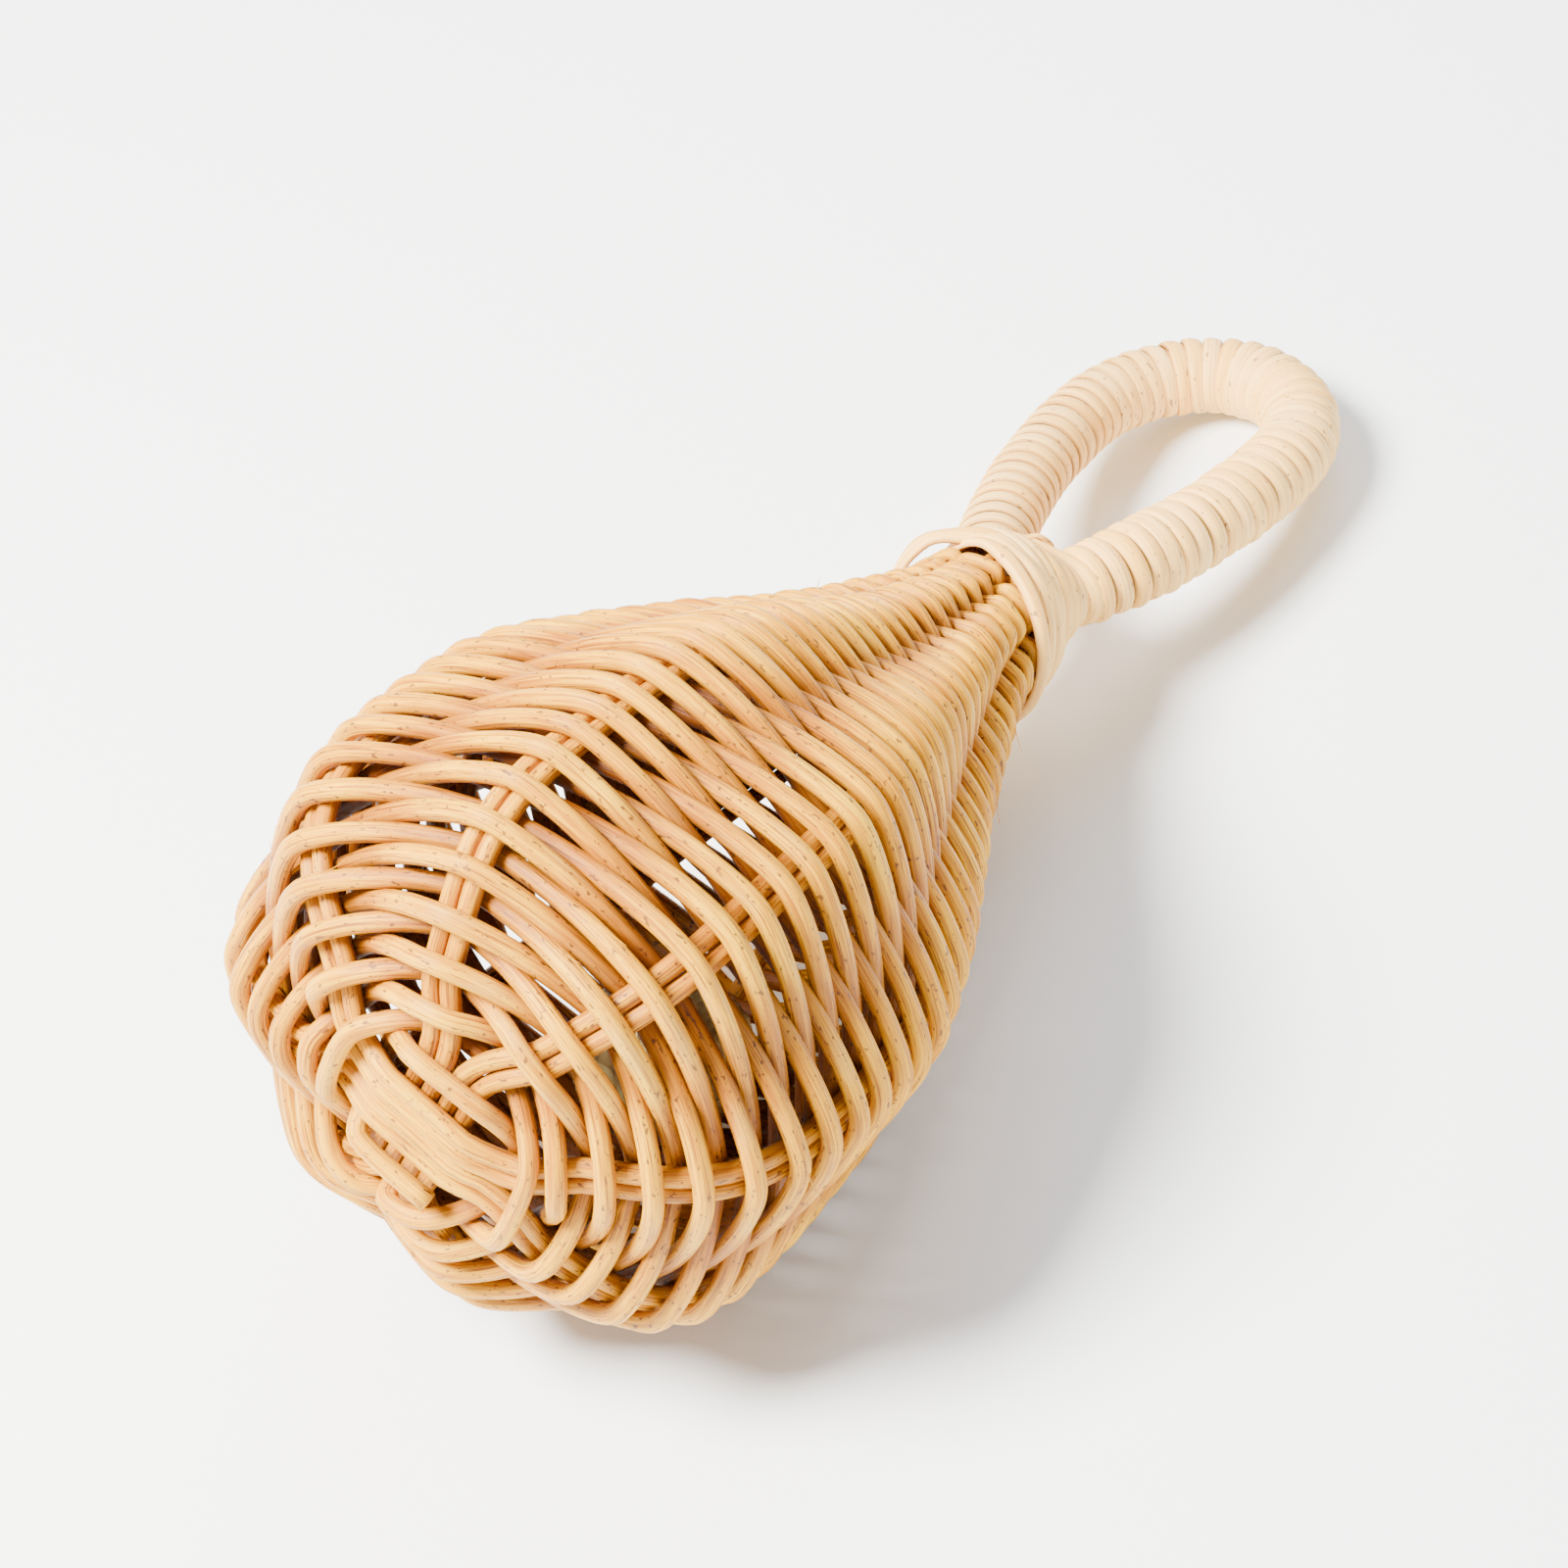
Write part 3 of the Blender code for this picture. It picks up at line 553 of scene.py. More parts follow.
def weaver_corners(weaver, chance):
    """A weaver's corner points: two at each crossing, with straight runs between them."""
    rows = np.arange(0.0, 80.0, 0.5)
    row_table = (rows, np.array([row_length(r) for r in rows]))
    stops = crossings(weaver, row_table)
    points = []
    radii = []
    for number, (angle, length, reach, crown, front) in enumerate(stops):
        radius, _, n_radial, _ = MERIDIAN.at(length)
        bend_radius = radius / max(n_radial, 0.02)
        clearance = rod_radius(length) + strand_radius(length) + GAP
        shift = chance.normal() * 0.11 * strand_radius(length)
        lift = abs(chance.normal()) * 0.07
        for side in (-1, 1):
            other = min(max(number + side, 0), len(stops) - 1)
            if other == number:
                other = number - side
            spacing = abs(stops[other][0] - angle) * radius
            wide = (reach + stops[other][2]) / 2
            spans = taut_span(bend_radius, spacing, wide, clearance)
            reach_out, offset = spans[0] if front else spans[1]
            offset += crown + lift if front else -lift
            reach_out += reach - wide
            reach_out *= 1.0 + 0.06 * chance.normal()
            place = angle + side * reach_out / radius
            span = abs(stops[other][0] - angle)
            drift = (stops[other][1] - length) * reach_out / radius / span
            drift += shift + 0.04 * chance.normal()
            point = MERIDIAN.point(length + drift, place + BASKET_TWIST, offset)
            points.append(handmade(point))
            radii.append(strand_radius(length))
    return points, radii


def bowed(points, radii):
    """Adds two points to each run between ribs, moved outwards, so that long runs bulge a little."""
    path = []
    sizes = []
    for number, (point, size) in enumerate(zip(points, radii)):
        path.append(point)
        sizes.append(size)
        if number % 2 == 1 and number + 1 < len(points):
            onward = points[number + 1]
            middle = (point + onward) / 2
            reach = math.hypot(middle.x, middle.y)
            bulge = SPAN_BOW * (onward - point).length_squared / (8 * max(reach, 6.0))
            away = (middle - Vector((0.0, 0.0, min(middle.z, 34.0)))).normalized()
            for share in (0.33, 0.67):
                path.append(point.lerp(onward, share) + away * bulge)
                sizes.append(size)
    return path, sizes


def rounded(points, radii, bend, longest):
    """Rounds the corners of a path and cuts its straight runs into short steps."""
    line = [points[0]]
    sizes = [radii[0]]
    for before, corner, after, size in zip(points, points[1:], points[2:], radii[1:]):
        back = before - corner
        onward = after - corner
        start = corner + back.normalized() * min(bend, back.length * 0.46)
        end = corner + onward.normalized() * min(bend, onward.length * 0.46)
        for step in range(6):
            t = step / 5
            line.append(start * (1 - t) ** 2 + corner * 2 * t * (1 - t) + end * t ** 2)
            sizes.append(size)
    line.append(points[-1])
    sizes.append(radii[-1])
    fine = []
    fine_sizes = []
    for a, b, size_a, size_b in zip(line, line[1:], sizes, sizes[1:]):
        count = max(int(math.ceil((b - a).length / longest)), 1)
        for step in range(count):
            fine.append(a.lerp(b, step / count))
            fine_sizes.append(size_a + (size_b - size_a) * step / count)
    fine.append(line[-1])
    fine_sizes.append(sizes[-1])
    return fine, fine_sizes


def make_weavers(material, place):
    paths = []
    for weaver in range(2):
        chance = np.random.default_rng(11 + weaver)
        corners, corner_radii = weaver_corners(weaver, chance)
        points, radii = rounded(*bowed(corners, corner_radii), BEND_LENGTH, 2.2)
        shape = tube_shape(points, radii, TUBE_SIDES, 3.0 + weaver)
        node = "weaver_%d" % (weaver + 1)
        make_piece("woven_strand_%d" % (weaver + 1), shape, material, place, "basket",
                   "rattan_natural", [node])
        paths.append((points, radii))
    return paths


# ---------------------------------------------------------------------------------------------
# Handle and neck
# ---------------------------------------------------------------------------------------------

def leg_reach(height):
    """How far a leg's centre line stands from the rattle's axis, below the loop's widest part."""
    t = min(max((height - LEG_BEND_HEIGHT) / (LOOP_WIDE_HEIGHT - LEG_BEND_HEIGHT), 0.0), 1.0)
    leg = LEG_SPACING / 2
    return leg + (LOOP_HALF_WIDTH - leg) * (1.0 - (1.0 - t) ** 1.95) * ease(t, -0.35, 0.22)


def cane_radius(height):
    """The cane is pared down where its legs stand in the neck."""
    return LEG_RADIUS + (CANE_RADIUS - LEG_RADIUS) * ease(height, 109.5, 120.0)


class Line:
    """A smooth line through points, measured by its arc length."""

    def __init__(self, points):
        self.points = np.array([tuple(p) for p in points])
        self.lengths = lengths_along(self.points)
        self.total = float(self.lengths[-1])

    def at(self, length):
        return Vector([float(np.interp(length, self.lengths, self.points[:, k])) for k in range(3)])

    def direction(self, length):
        return (self.at(length + 1.2) - self.at(length - 1.2)).normalized()


def handle_line(foot_height):
    """The handle's centre line, up one leg, round the loop and down the other leg."""
    side = []
    for step in range(41):
        height = foot_height + (LOOP_WIDE_HEIGHT - foot_height) * step / 40
        side.append((leg_reach(height), height))
    for step in range(1, 33):
        angle = math.pi / 2 * step / 32
        top = LOOP_TIP_HEIGHT - LOOP_WIDE_HEIGHT
        side.append((LOOP_HALF_WIDTH * math.cos(angle), LOOP_WIDE_HEIGHT + top * math.sin(angle)))
    line = [Vector((0.0, -y, z)) for y, z in side]
    line += [Vector((0.0, y, z)) for y, z in side[-2::-1]]
    return Line(line)


def make_handle_wrap(material, place):
    """A peel strip wound round the loop, each turn lapping over the one before it."""
    chance = np.random.default_rng(5)
    line = handle_line(WRAP_START_HEIGHT)
    turns = int(line.total / WRAP_PITCH)
    loose = np.interp(np.arange(turns + 2), [0, turns * 0.35, turns * 0.7], [1.0, 0.7, 0.35])
    turn_shift = chance.normal(size=turns + 2) * WRAP_SHIFT * loose
    turn_lift = chance.normal(size=turns + 2) * WRAP_LIFT * loose
    turn_lean = chance.normal(size=turns + 2) * WRAP_TILT * loose
    places = []
    tightness = []
    for step in range(turns * WRAP_FACETS + 1):
        turn = step / WRAP_FACETS
        length = line.total * step / (turns * WRAP_FACETS)
        shift = float(np.interp(turn, np.arange(turns + 2), turn_shift))
        lift = float(np.interp(turn, np.arange(turns + 2), turn_lift))
        lean = float(np.interp(turn, np.arange(turns + 2), turn_lean))
        angle = 2 * math.pi * turn
        centre = line.at(length)
        along = line.direction(length)
        flat = Vector((1.0, 0.0, 0.0))
        side = along.cross(flat).normalized()
        outward = flat * math.cos(angle) + side * math.sin(angle)
        slide = shift + 0.22 * math.sin(angle + 5.0 * lean)
        lap = WRAP_LAP + lean
        across = (along * math.cos(lap) + outward * math.sin(lap)).normalized()
        raised = (outward * math.cos(lap) - along * math.sin(lap)).normalized()
        reach = cane_radius(centre.z) + WRAP_CLEARANCE + lift
        places.append((centre + outward * reach + along * slide, raised, across))
        tightness.append(ease(turn / turns, 0.3, 0.75))
    widths = np.interp(tightness, (0.0, 1.0), WRAP_WIDTH)
    thicknesses = np.interp(tightness, (0.0, 1.0), WRAP_THICKNESS)
    shape = strip_shape(places, widths, thicknesses, 71.0)
    make_piece("wound_handle_strip", shape, material, place, "basket",
               "rattan_bleached", ["handle_wrap"])


def stadium_reach(angle, half_width, radius):
    """The reach, at this angle from the loop's normal, of an outline round both legs."""
    if abs(math.sin(angle)) * radius <= half_width * abs(math.cos(angle)):
        return radius / abs(math.cos(angle))
    sideways = half_width * abs(math.sin(angle))
    return sideways + math.sqrt(radius ** 2 - (half_width * math.cos(angle)) ** 2)


def neck_reach(angle, height):
    """The outside of the neck: the weave, the rod ends over the legs, and the legs themselves."""
    rod_end = RIB_PROFILE[-1][1]
    length = MERIDIAN.length_at_height(min(height - 1.0, rod_end))
    round_part = MERIDIAN.at(length)[0] + rod_radius(length)
    cover = 1.0 - ease(height, WEAVE_END_HEIGHT, WEAVE_END_HEIGHT + 2.5)
    round_part += cover * 1.3 * strand_radius(length)
    legs = stadium_reach(angle, leg_reach(height), cane_radius(height))
    blend = ease(height, rod_end + 1.0, rod_end + 6.0)
    return max(round_part + (legs - round_part) * blend, legs)


def binding_height(turn, angle):
    """The binding's turns lie spread on one side and close together on the other."""
    share = turn / BINDING_TURNS
    middle = BINDING_LOW + (BINDING_HIGH - BINDING_LOW) * share
    fan = FAN_LOW * (1.0 - share) + FAN_HIGH * share
    return middle + fan * math.cos(angle - FAN_ANGLE)


def square_across(places):
    """Turns each place's across direction square to the strip's own run, so its width stays even."""
    centres = [p[0] for p in places]
    squared = []
    for number, (centre, outward, across) in enumerate(places):
        run = centres[(number + 1) % len(centres)] - centres[number - 1]
        run.normalize()
        raised = outward - across * outward.dot(across)
        raised = (raised - run * raised.dot(run)).normalized()
        squared.append((centre, raised, run.cross(raised)))
    return squared


def make_neck_binding(material, place):
    """A peel strip wound over the rod ends and the loop's roots, and two turns through its crotch."""
    chance = np.random.default_rng(23)
    lifts = chance.normal(size=BINDING_TURNS + 2) * 0.12
    places = []
    for step in range(BINDING_TURNS * BINDING_FACETS + 1):
        turn = step / BINDING_FACETS
        angle = 2 * math.pi * turn
        height = binding_height(turn, angle)
        lift = BINDING_CLEARANCE + float(np.interp(turn, np.arange(BINDING_TURNS + 2), lifts))
        reach = neck_reach(angle, height) + lift
        slope = neck_reach(angle, height + 0.5) - neck_reach(angle, height - 0.5)
        outward = Vector((math.cos(angle), math.sin(angle), 0.0))
        across = (Vector((0.0, 0.0, 1.0)) + outward * (slope + BINDING_LAP)).normalized()
        round_about = Vector((-math.sin(angle), math.cos(angle), 0.0))
        raised = round_about.cross(across).normalized()
        if raised.dot(outward) < 0.0:
            raised.negate()
        places.append((outward * reach + Vector((0.0, 0.0, height)), raised, across))
    turns = strip_shape(places, BINDING_WIDTH, BINDING_THICKNESS, 83.0)
    saddles = [saddle_turn(side, 85.5 + side) for side in (1, -1)]
    make_piece("wound_neck_strip", join_shapes([turns, *saddles]), material, place, "basket",
               "rattan_bleached", ["neck_binding"])


def saddle_turn(side, seed):
    """A closed turn through the loop, over the crotch of its legs, and down round one side."""
    layer = SADDLE_LAYER + SADDLE_STEP * side
    edge = neck_reach(0.0, BINDING_HIGH) + layer - SADDLE_SINK
    places = []
    for step in range(SADDLE_STATIONS):
        around = 2 * math.pi * step / SADDLE_STATIONS
        if around < math.pi:
            drop = math.sin(around) ** 0.7
            height = SADDLE_HEIGHT + (SADDLE_LOW - SADDLE_HEIGHT) * drop
            angle = around * side
            outward = Vector((math.cos(angle), math.sin(angle), 0.0))
            sink = SADDLE_SINK * (1.0 - drop) ** 2
            reach = neck_reach(angle, min(height, BINDING_HIGH)) + layer - sink
            centre = outward * reach + Vector((0.0, 0.0, height))
            raised = outward + Vector((0.0, 0.0, 1.2 * (1.0 - drop)))
        else:
            share = math.cos(around)
            bulge = math.sqrt(1.0 - share ** 2)
            lane = -SADDLE_LANE * side * min(1.7 * bulge, 1.0)
            centre = Vector((edge * share, lane, SADDLE_HEIGHT + 0.5 * bulge))
            raised = Vector((share * (1.0 - bulge), 0.0, 1.0))
        places.append((centre, raised.normalized(), Vector((0.0, 0.0, 0.0))))
    return strip_shape(square_across(places), SADDLE_WIDTH, SADDLE_THICKNESS, seed, closed=True)


def make_collar(number, level_at, lift_at, lean_at, material, place):
    """A loose turn of strip round the neck; its level, lift and outward lean depend on the angle."""
    places = []
    for step in range(COLLAR_STATIONS):
        angle = 2 * math.pi * step / COLLAR_STATIONS
        level = level_at(angle)
        outward = Vector((math.cos(angle), math.sin(angle), 0.0))
        slope = neck_reach(angle, level + 0.5) - neck_reach(angle, level - 0.5)
        across = (Vector((0.0, 0.0, 1.0)) + outward * (slope + lean_at(angle))).normalized()
        centre = outward * (neck_reach(angle, level) + lift_at(angle)) + Vector((0.0, 0.0, level))
        places.append((centre, outward, across))
    width, thickness = COLLAR_SIZES[number - 1]
    shape = strip_shape(square_across(places), width, thickness, 90.0 + number, closed=True)
    make_piece("loose_collar_%d" % number, shape, material, place, "basket",
               "rattan_bleached", ["collar_loop_%d" % number])


def make_collars(material, place):
    """Two turns lie aslant under the binding; the third arches off the neck on one side."""
    def first_level(angle):
        return 105.7 + 4.0 * math.cos(angle - FAN_ANGLE)

    def second_level(angle):
        return 107.4 + 3.6 * math.cos(angle - FAN_ANGLE - 0.2)

    def third_level(angle):
        return 107.6 + 3.7 * math.tanh(1.9 * math.sin(angle - FAN_ANGLE))

    def first_lift(angle):
        return 0.35 + 0.2 * math.cos(angle + 1.1)

    def second_lift(angle):
        return 0.5 + 0.15 * math.cos(2 * angle)

    def arch(angle):
        turned = math.atan2(math.sin(angle - FAN_ANGLE), math.cos(angle - FAN_ANGLE))
        return math.exp(-(turned / 0.62) ** 2)

    def third_lift(angle):
        return 0.3 + 1.9 * arch(angle)

    def even_lean(_):
        return COLLAR_LEAN

    def third_lean(angle):
        return COLLAR_LEAN + 0.9 * arch(angle)

    make_collar(1, first_level, first_lift, even_lean, material, place)
    make_collar(2, second_level, second_lift, even_lean, material, place)
    make_collar(3, third_level, third_lift, third_lean, material, place)


# ---------------------------------------------------------------------------------------------
# Loose fibres
# ---------------------------------------------------------------------------------------------

def make_loose_fibres(paths, material, place):
    """Fine hairs lifted off the strands at seeded random places."""
    chance = np.random.default_rng(77)
    shapes = []
    for number in range(HAIR_COUNT):
        points, radii = paths[number % 2]
        index = int(chance.integers(120, len(points) - 12))
        root = points[index]
        run = (points[index + 2] - root).normalized()
        outward = Vector((root.x, root.y, 0.0)).normalized()
        outward = (outward - run * outward.dot(run)).normalized()
        side = run.cross(outward) * float(chance.normal()) * 0.5
        long = float(chance.uniform(1.4, 4.2))
        rise = float(chance.uniform(0.15, 0.55))
        hair = []
        for step in range(HAIR_STEPS + 1):
            t = step / HAIR_STEPS
            lifted = outward * (radii[index] * 0.95 + rise * long * t ** 1.7)
            hair.append(root + lifted + run * long * t + side * long * t * t * 0.4)
        thin = [HAIR_RADIUS * (1.0 - 0.7 * step / HAIR_STEPS) for step in range(HAIR_STEPS + 1)]
        shapes.append(tube_shape(hair, thin, 5, 120.0 + number))
    make_piece("frayed_fibres", join_shapes(shapes), material, place, "basket",
               "rattan_natural", [])


# ---------------------------------------------------------------------------------------------
# Materials
# ---------------------------------------------------------------------------------------------

class Nodes:
    """A short way to build a node material."""

    def __init__(self, name):
        self.material = bpy.data.materials.new(name)
        self.material.use_nodes = True
        self.tree = self.material.node_tree
        self.shader = self.tree.nodes["Principled BSDF"]

    def add(self, kind, **settings):
        node = self.tree.nodes.new(kind)
        for key, value in settings.items():
            setattr(node, key, value)
        return node

    def link(self, source, target):
        self.tree.links.new(source, target)

    def fibre(self, scale, offset=(0.0, 0.0, 0.0)):
        """The strand's own coordinates, in millimetres, scaled along x and y across and z along."""
        attribute = self.add("ShaderNodeAttribute", attribute_name="fibre")
        mapping = self.add("ShaderNodeMapping")
        mapping.inputs["Scale"].default_value = scale
        mapping.inputs["Location"].default_value = offset
        self.link(attribute.outputs["Vector"], mapping.inputs["Vector"])
        return mapping.outputs["Vector"]

    def grain(self, vector, detail=3.0, roughness=0.6, scale=1.0, distortion=0.0):
        grain = self.add("ShaderNodeTexNoise")
        grain.inputs["Scale"].default_value = scale
        grain.inputs["Detail"].default_value = detail
        grain.inputs["Roughness"].default_value = roughness
        grain.inputs["Distortion"].default_value = distortion
        self.link(vector, grain.inputs["Vector"])
        return grain.outputs["Fac"]

    def ramp(self, value, stops):
        ramp = self.add("ShaderNodeValToRGB")
        elements = ramp.color_ramp.elements
        while len(elements) < len(stops):
            elements.new(0.5)
        for element, (position, colour) in zip(elements, stops):
            element.position = position
            element.color = (*colour, 1.0)
        self.link(value, ramp.inputs["Fac"])
        return ramp.outputs["Color"]

    def mask(self, value, low, high):
        """0 below low and 1 above high, or the other way round if low is above high."""
        limit = self.add("ShaderNodeMapRange", interpolation_type="SMOOTHSTEP")
        limit.inputs["From Min"].default_value = low
        limit.inputs["From Max"].default_value = high
        self.link(value, limit.inputs["Value"])
        return limit.outputs["Result"]

    def scaled(self, value, factor, added=0.0):
        scaled = self.add("ShaderNodeMath", operation="MULTIPLY_ADD")
        scaled.inputs[1].default_value = factor
        scaled.inputs[2].default_value = added
        self.link(value, scaled.inputs[0])
        return scaled.outputs[0]

    def mix(self, factor, first, second, blend="MIX"):
        """Mixes two colours; either may be a socket or a plain colour."""
        mix = self.add("ShaderNodeMix", data_type="RGBA", blend_type=blend)
        for value, key in ((factor, 0), (first, 6), (second, 7)):
            if isinstance(value, (int, float)):
                mix.inputs[key].default_value = value
            elif isinstance(value, tuple):
                mix.inputs[key].default_value = (*value, 1.0)
            else:
                self.link(value, mix.inputs[key])
        return mix.outputs[2]

    def bump(self, height, strength, distance, onto=None):
        bump = self.add("ShaderNodeBump")
        bump.inputs["Strength"].default_value = strength
        bump.inputs["Distance"].default_value = distance
        self.link(height, bump.inputs["Height"])
        if onto is not None:
            self.link(onto, bump.inputs["Normal"])
        return bump.outputs["Normal"]


def natural_rattan():
    """Round rattan core: straw to honey along the strand, fine fibres, brown flecks and pores, with
    painted shade where strands run deep inside the basket and in the grooves between strands.
    """
    n = Nodes("natural_rattan")
    slow = n.grain(n.fibre((0.05, 0.05, 0.021)), 3.0, 0.55)
    tone = n.ramp(slow, [(0.3, (0.66, 0.29, 0.0)), (0.44, (0.78, 0.37, 0.0)),
                         (0.56, (0.84, 0.43, 0.0)), (0.72, (0.84, 0.5, 0.012))])
    streaks = n.grain(n.fibre((3.4, 3.4, 0.12)), 5.0, 0.68)
    tone = n.mix(n.mask(streaks, 0.38, 0.6), n.mix(1.0, tone, (0.64, 0.49, 0.28), "MULTIPLY"), tone)
    fine = n.grain(n.fibre((4.8, 4.8, 0.1), (4.0, 1.0, 9.0)), 3.0, 0.6)
    lines = n.mask(fine, 0.44, 0.35)
    tone = n.mix(n.scaled(lines, 0.92), tone, (0.26, 0.085, 0.008))
    patches = n.grain(n.fibre((0.5, 0.5, 0.11), (2.0, 7.0, 3.0)), 2.0, 0.5)
    tone = n.mix(n.scaled(n.mask(patches, 0.58, 0.72), 0.35), tone, (0.6, 0.35, 0.08))
    flecks = n.grain(n.fibre((2.3, 2.3, 1.1), (8.0, 2.0, 5.0)), 2.0, 0.5)
    tone = n.mix(n.scaled(n.mask(flecks, 0.645, 0.68), 0.85), tone, (0.13, 0.05, 0.02))
    # Painted shade: the strands darken where they lie deep inside the basket.
    depth = n.add("ShaderNodeAttribute", attribute_name="depth").outputs["Fac"]
    shade = n.mix(1.0, tone, (0.36, 0.23, 0.14), "MULTIPLY")
    tone = n.mix(n.mask(depth, -2.6, 1.3), shade, tone)
    # Painted shade in the grooves between strands, below the strands' tops.
    painted_groove_shade = n.mix(1.0, tone, (0.74, 0.6, 0.45), "MULTIPLY")
    tone = n.mix(n.mask(depth, 0.1, 1.7), painted_groove_shade, tone)
    n.link(tone, n.shader.inputs["Base Color"])
    n.link(n.scaled(streaks, 0.35, 0.22), n.shader.inputs["Roughness"])
    n.shader.inputs["Specular IOR Level"].default_value = 0.22
    first = n.bump(streaks, 0.7, 0.00018)
    n.link(n.bump(fine, 0.6, 0.0001, first), n.shader.inputs["Normal"])
    return n.material


def bleached_peel():
    """Pale flat peel: cream with fine lines along it, and a few specks; its edges are darker, partly from
    their own tone and partly from painted shade in the grooves between turns.
    """
    n = Nodes("bleached_peel")
    slow = n.grain(n.fibre((0.08, 0.3, 0.03)), 3.0, 0.55)
    tone = n.ramp(slow, [(0.3, (1.0, 0.55, 0.11)), (0.5, (1.0, 0.62, 0.19)), (0.7, (1.0, 0.68, 0.27))])
    streaks = n.grain(n.fibre((3.2, 1.5, 0.06)), 5.0, 0.65)
    tone = n.mix(n.mask(streaks, 0.35, 0.6), n.mix(1.0, tone, (0.82, 0.73, 0.6), "MULTIPLY"), tone)
    fine = n.grain(n.fibre((4.6, 2.0, 0.07), (1.0, 5.0, 2.0)), 2.0, 0.6)
    tone = n.mix(n.scaled(n.mask(fine, 0.42, 0.33), 0.55), tone, (0.5, 0.27, 0.1))
    flecks = n.grain(n.fibre((2.0, 1.0, 0.9), (3.0, 2.0, 8.0)), 2.0, 0.5)
    tone = n.mix(n.scaled(n.mask(flecks, 0.665, 0.7), 0.75), tone, (0.22, 0.1, 0.05))
    # Darker towards the strip's edges: partly the edges' own tone, partly painted shade in the grooves
    # between turns.
    sideways = n.add("ShaderNodeSeparateXYZ")
    n.link(n.fibre((1.0, 1.0, 1.0)), sideways.inputs["Vector"])
    from_middle = n.add("ShaderNodeMath", operation="ABSOLUTE")
    n.link(sideways.outputs["X"], from_middle.inputs[0])
    edge = n.mask(from_middle.outputs[0], 0.92, 1.28)
    tone = n.mix(n.scaled(edge, 0.9), tone, n.mix(1.0, tone, (0.5, 0.42, 0.34), "MULTIPLY"))
    n.link(tone, n.shader.inputs["Base Color"])
    n.link(n.scaled(streaks, 0.25, 0.42), n.shader.inputs["Roughness"])
    n.shader.inputs["Specular IOR Level"].default_value = 0.35
    first = n.bump(streaks, 0.5, 0.00012)
    n.link(n.bump(fine, 0.35, 0.00005, first), n.shader.inputs["Normal"])
    return n.material


def object_grain(n, scale, detail=4.0, roughness=0.6):
    """Noise in the object's own coordinates, for pieces that carry no fibre coordinates."""
    coordinates = n.add("ShaderNodeTexCoord")
    return n.grain(coordinates.outputs["Object"], detail, roughness, scale)


def bare_cane():
    """The handle's bent cane, seen only through gaps in the wrap."""
    n = Nodes("bare_cane")
    slow = object_grain(n, 160.0)
    fine = object_grain(n, 1500.0)
    tone = n.ramp(slow, [(0.3, (0.5, 0.31, 0.14)), (0.7, (0.66, 0.46, 0.25))])
    tone = n.mix(n.mask(fine, 0.35, 0.6), n.mix(1.0, tone, (0.7, 0.6, 0.5), "MULTIPLY"), tone)
    n.link(tone, n.shader.inputs["Base Color"])
    n.link(n.scaled(fine, 0.3, 0.4), n.shader.inputs["Roughness"])
    n.link(n.bump(fine, 0.4, 0.0001), n.shader.inputs["Normal"])
    return n.material


def dull_brass():
    """Pressed sheet brass, dulled and lightly scratched."""
    n = Nodes("dull_brass")
    slow = object_grain(n, 240.0)
    fine = object_grain(n, 2600.0)
    tone = n.ramp(slow, [(0.35, (0.33, 0.22, 0.08)), (0.55, (0.62, 0.47, 0.2)), (0.7, (0.72, 0.57, 0.28))])
    n.link(tone, n.shader.inputs["Base Color"])
    n.shader.inputs["Metallic"].default_value = 1.0
    n.link(n.scaled(slow, 0.5, 0.15), n.shader.inputs["Roughness"])
    n.link(n.bump(fine, 0.25, 0.00006), n.shader.inputs["Normal"])
    return n.material


def dull_steel():
    """The ball inside the bell: plain steel with a brushed, scuffed skin."""
    n = Nodes("dull_steel")
    slow = object_grain(n, 420.0)
    fine = object_grain(n, 3000.0)
    tone = n.ramp(slow, [(0.35, (0.26, 0.25, 0.24)), (0.65, (0.5, 0.49, 0.48))])
    n.link(tone, n.shader.inputs["Base Color"])
    n.shader.inputs["Metallic"].default_value = 1.0
    n.link(n.scaled(slow, 0.45, 0.18), n.shader.inputs["Roughness"])
    n.link(n.bump(fine, 0.3, 0.00005), n.shader.inputs["Normal"])
    return n.material


def pale_floor():
    n = Nodes("pale_floor")
    n.shader.inputs["Base Color"].default_value = (0.86, 0.92, 1.0, 1.0)
    n.shader.inputs["Roughness"].default_value = 0.9
    n.shader.inputs["Specular IOR Level"].default_value = 0.1
    return n.material


# ---------------------------------------------------------------------------------------------
# Frame pieces that stay, and the stage
# ---------------------------------------------------------------------------------------------

def upright_place(core):
    """Where the upright rattle lies in the world, found from the frame's handle core.

    The core is symmetric, so the direction it spreads along most is the rattle's axis, and its far
    end is the loop's tip.
    """
    points = np.array([tuple(v.co) for v in core.data.vertices])
    middle = points.mean(axis=0)
    axis = Vector(np.linalg.svd(points - middle, full_matrices=False)[2][0])
    if axis.x < 0.0:
        axis.negate()
    axis.y = 0.0
    axis.normalize()
    reach = max(Vector(p).dot(axis) for p in points)
    tip = (LOOP_TIP_HEIGHT + CANE_RADIUS) * MM
    base = Vector(middle) + axis * (reach - tip - Vector(middle).dot(axis))
    across = Vector((0.0, 1.0, 0.0))
    place = Matrix((across.cross(axis), across, axis)).transposed().to_4x4()
    place.translation = base
    return place


def dress_frame_piece(frame, name, material):
    """A frame node that stays gets its material; its mesh is left as it is."""
    node = frame["nodes"][name]
    node.data.materials.clear()
    node.data.materials.append(material)


def add_light(name, place, size, power, colour):
    data = bpy.data.lights.new(name, "AREA")
    data.shape = "DISK"
    data.size = size
    data.energy = power
    data.color = colour
    light = bpy.data.objects.new(name, data)
    bpy.context.scene.collection.objects.link(light)
    light.location = place
    direction = AIM_POINT - Vector(place)
    light.rotation_euler = direction.to_track_quat("-Z", "Y").to_euler()


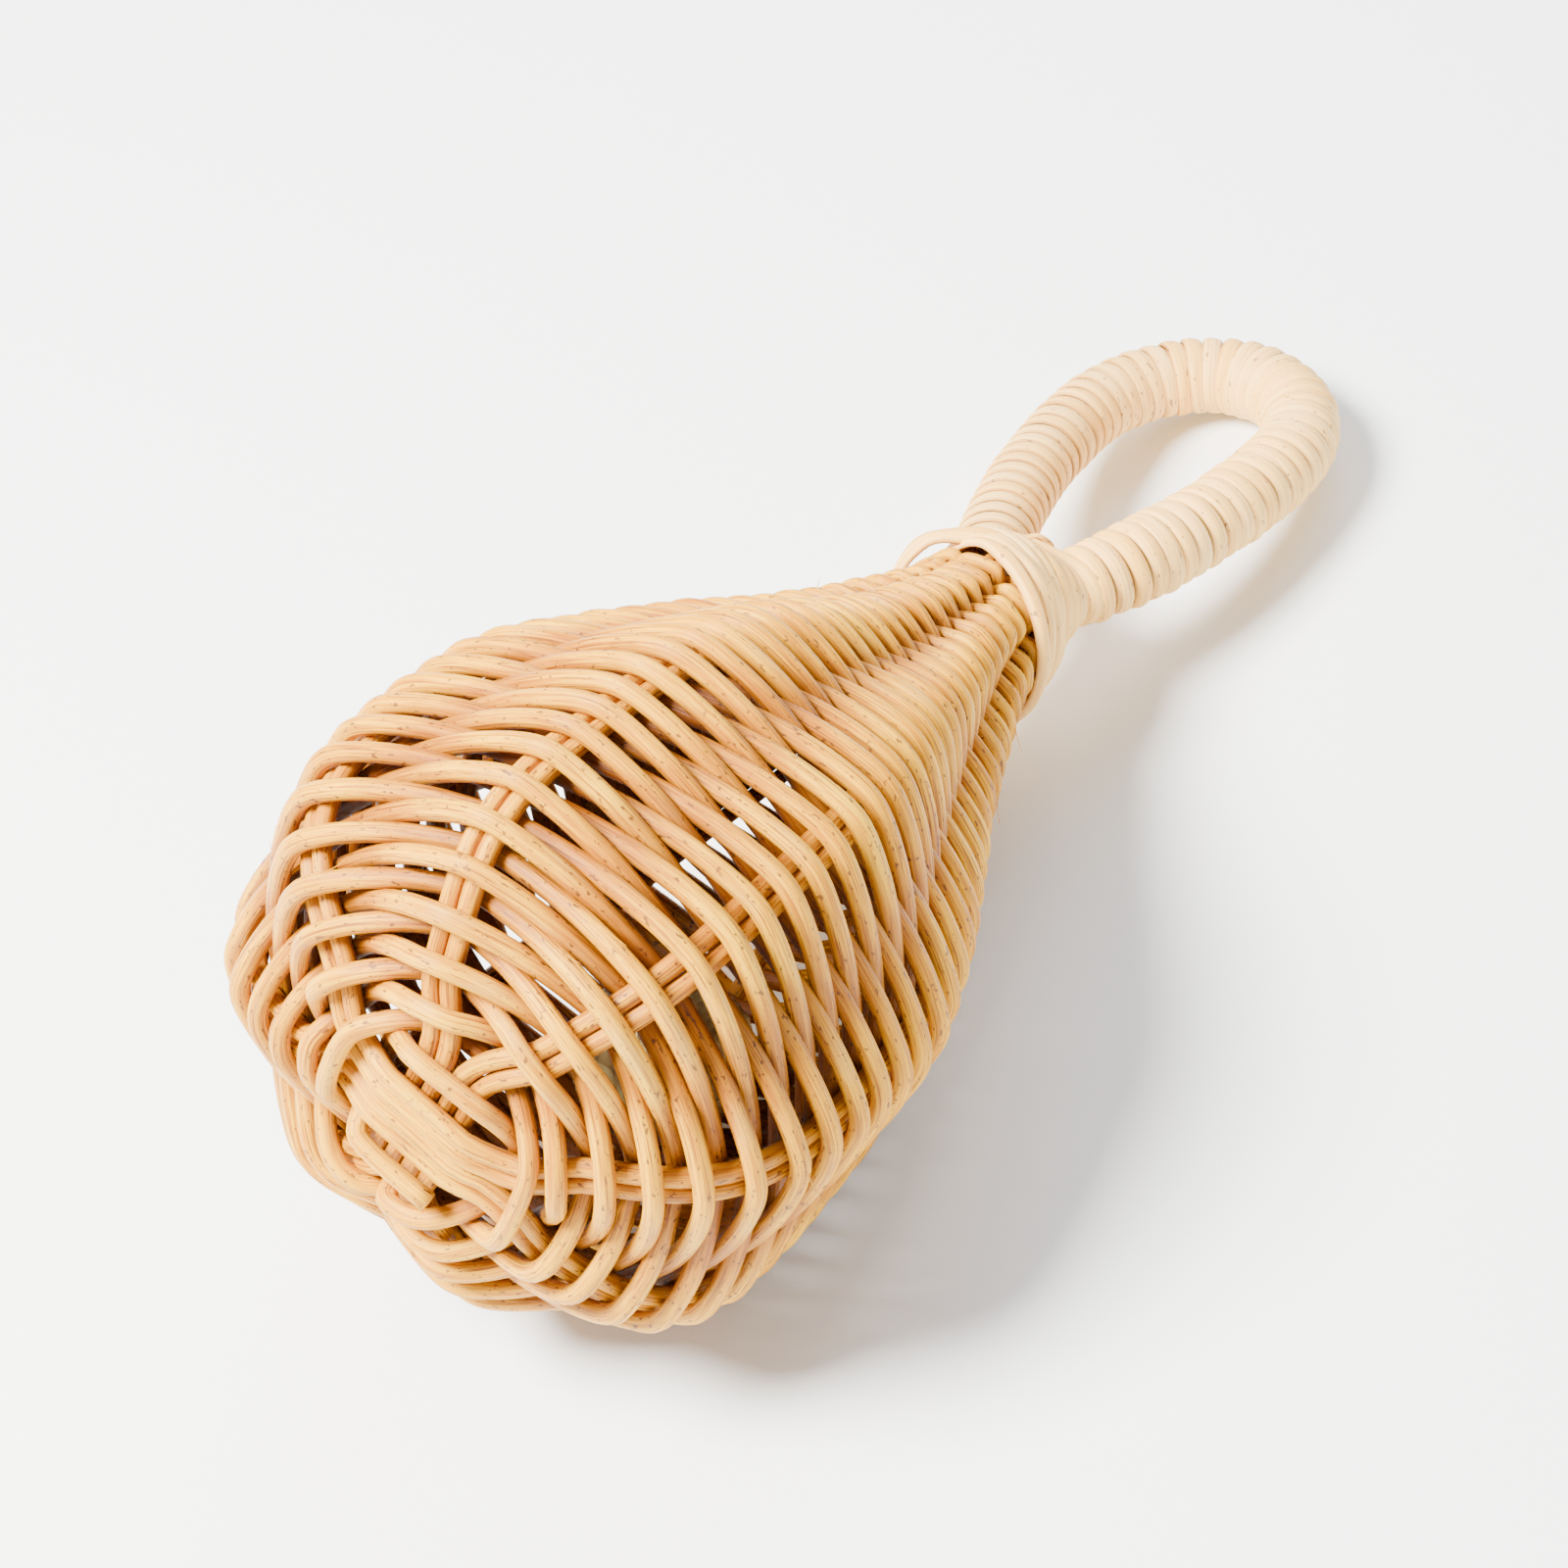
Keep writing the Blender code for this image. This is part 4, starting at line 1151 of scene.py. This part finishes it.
def make_stage(low):
    """A large pale floor under the rattle, a pale sky and three soft lights."""
    mesh = bpy.data.meshes.new("floor")
    half = FLOOR_HALF
    corners = [(-half, -half, low), (half, -half, low), (half, half, low), (-half, half, low)]
    mesh.from_pydata(corners, [], [(0, 1, 2, 3)])
    mesh.materials.append(pale_floor())
    floor = bpy.data.objects.new("floor", mesh)
    bpy.context.scene.collection.objects.link(floor)
    world = bpy.data.worlds.new("pale_sky")
    world.use_nodes = True
    world.node_tree.nodes["Background"].inputs["Color"].default_value = (1.0, 0.97, 0.91, 1.0)
    world.node_tree.nodes["Background"].inputs["Strength"].default_value = 0.85
    bpy.context.scene.world = world
    add_light("key", (-0.35, 0.25, 0.7), 0.35, 46.0, (1.0, 0.94, 0.82))
    add_light("fill", (-0.6, -0.6, 0.35), 0.8, 1.5, (1.0, 1.0, 1.0))
    add_light("back", (0.6, 0.1, 0.5), 0.6, 5.0, (1.0, 1.0, 1.0))


def make_camera():
    """The camera looks at the rattle from the base side, above and to its right."""
    back = Vector((math.cos(CAMERA_ELEVATION) * math.cos(CAMERA_AZIMUTH),
                   math.cos(CAMERA_ELEVATION) * math.sin(CAMERA_AZIMUTH),
                   math.sin(CAMERA_ELEVATION)))
    right = (-back).cross(Vector((0.0, 0.0, 1.0))).normalized()
    up = right.cross(-back)
    aim = AIM_POINT + right * CAMERA_AIM[0] * MM + up * CAMERA_AIM[1] * MM
    turned_right = right * math.cos(CAMERA_ROLL) + up * math.sin(CAMERA_ROLL)
    turned_up = up * math.cos(CAMERA_ROLL) - right * math.sin(CAMERA_ROLL)
    data = bpy.data.cameras.new("camera")
    data.sensor_width = SENSOR_WIDTH
    data.lens = CAMERA_FOCAL / IMAGE_WIDTH * SENSOR_WIDTH
    data.clip_start = 0.01
    data.clip_end = 20.0
    camera = bpy.data.objects.new("camera", data)
    bpy.context.scene.collection.objects.link(camera)
    camera.matrix_world = Matrix.Translation(aim + back * CAMERA_DISTANCE) @ Matrix(
        (turned_right, turned_up, back)).transposed().to_4x4()
    bpy.context.scene.camera = camera


def main():
    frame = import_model()
    cad_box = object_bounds()
    place = upright_place(frame["nodes"]["handle_core"])
    rattan = natural_rattan()
    peel = bleached_peel()
    make_rods(rattan, place)
    paths = make_weavers(rattan, place)
    make_loose_fibres(paths, rattan, place)
    make_handle_wrap(peel, place)
    make_neck_binding(peel, place)
    make_collars(peel, place)
    dress_frame_piece(frame, "handle_core", bare_cane())
    brass = dull_brass()
    for name in ("bell_upper_shell", "bell_lower_shell", "bell_loop"):
        dress_frame_piece(frame, name, brass)
    dress_frame_piece(frame, "bell_clapper", dull_steel())
    make_stage(cad_box[0].z - FLOOR_DROP)
    make_camera()


main()
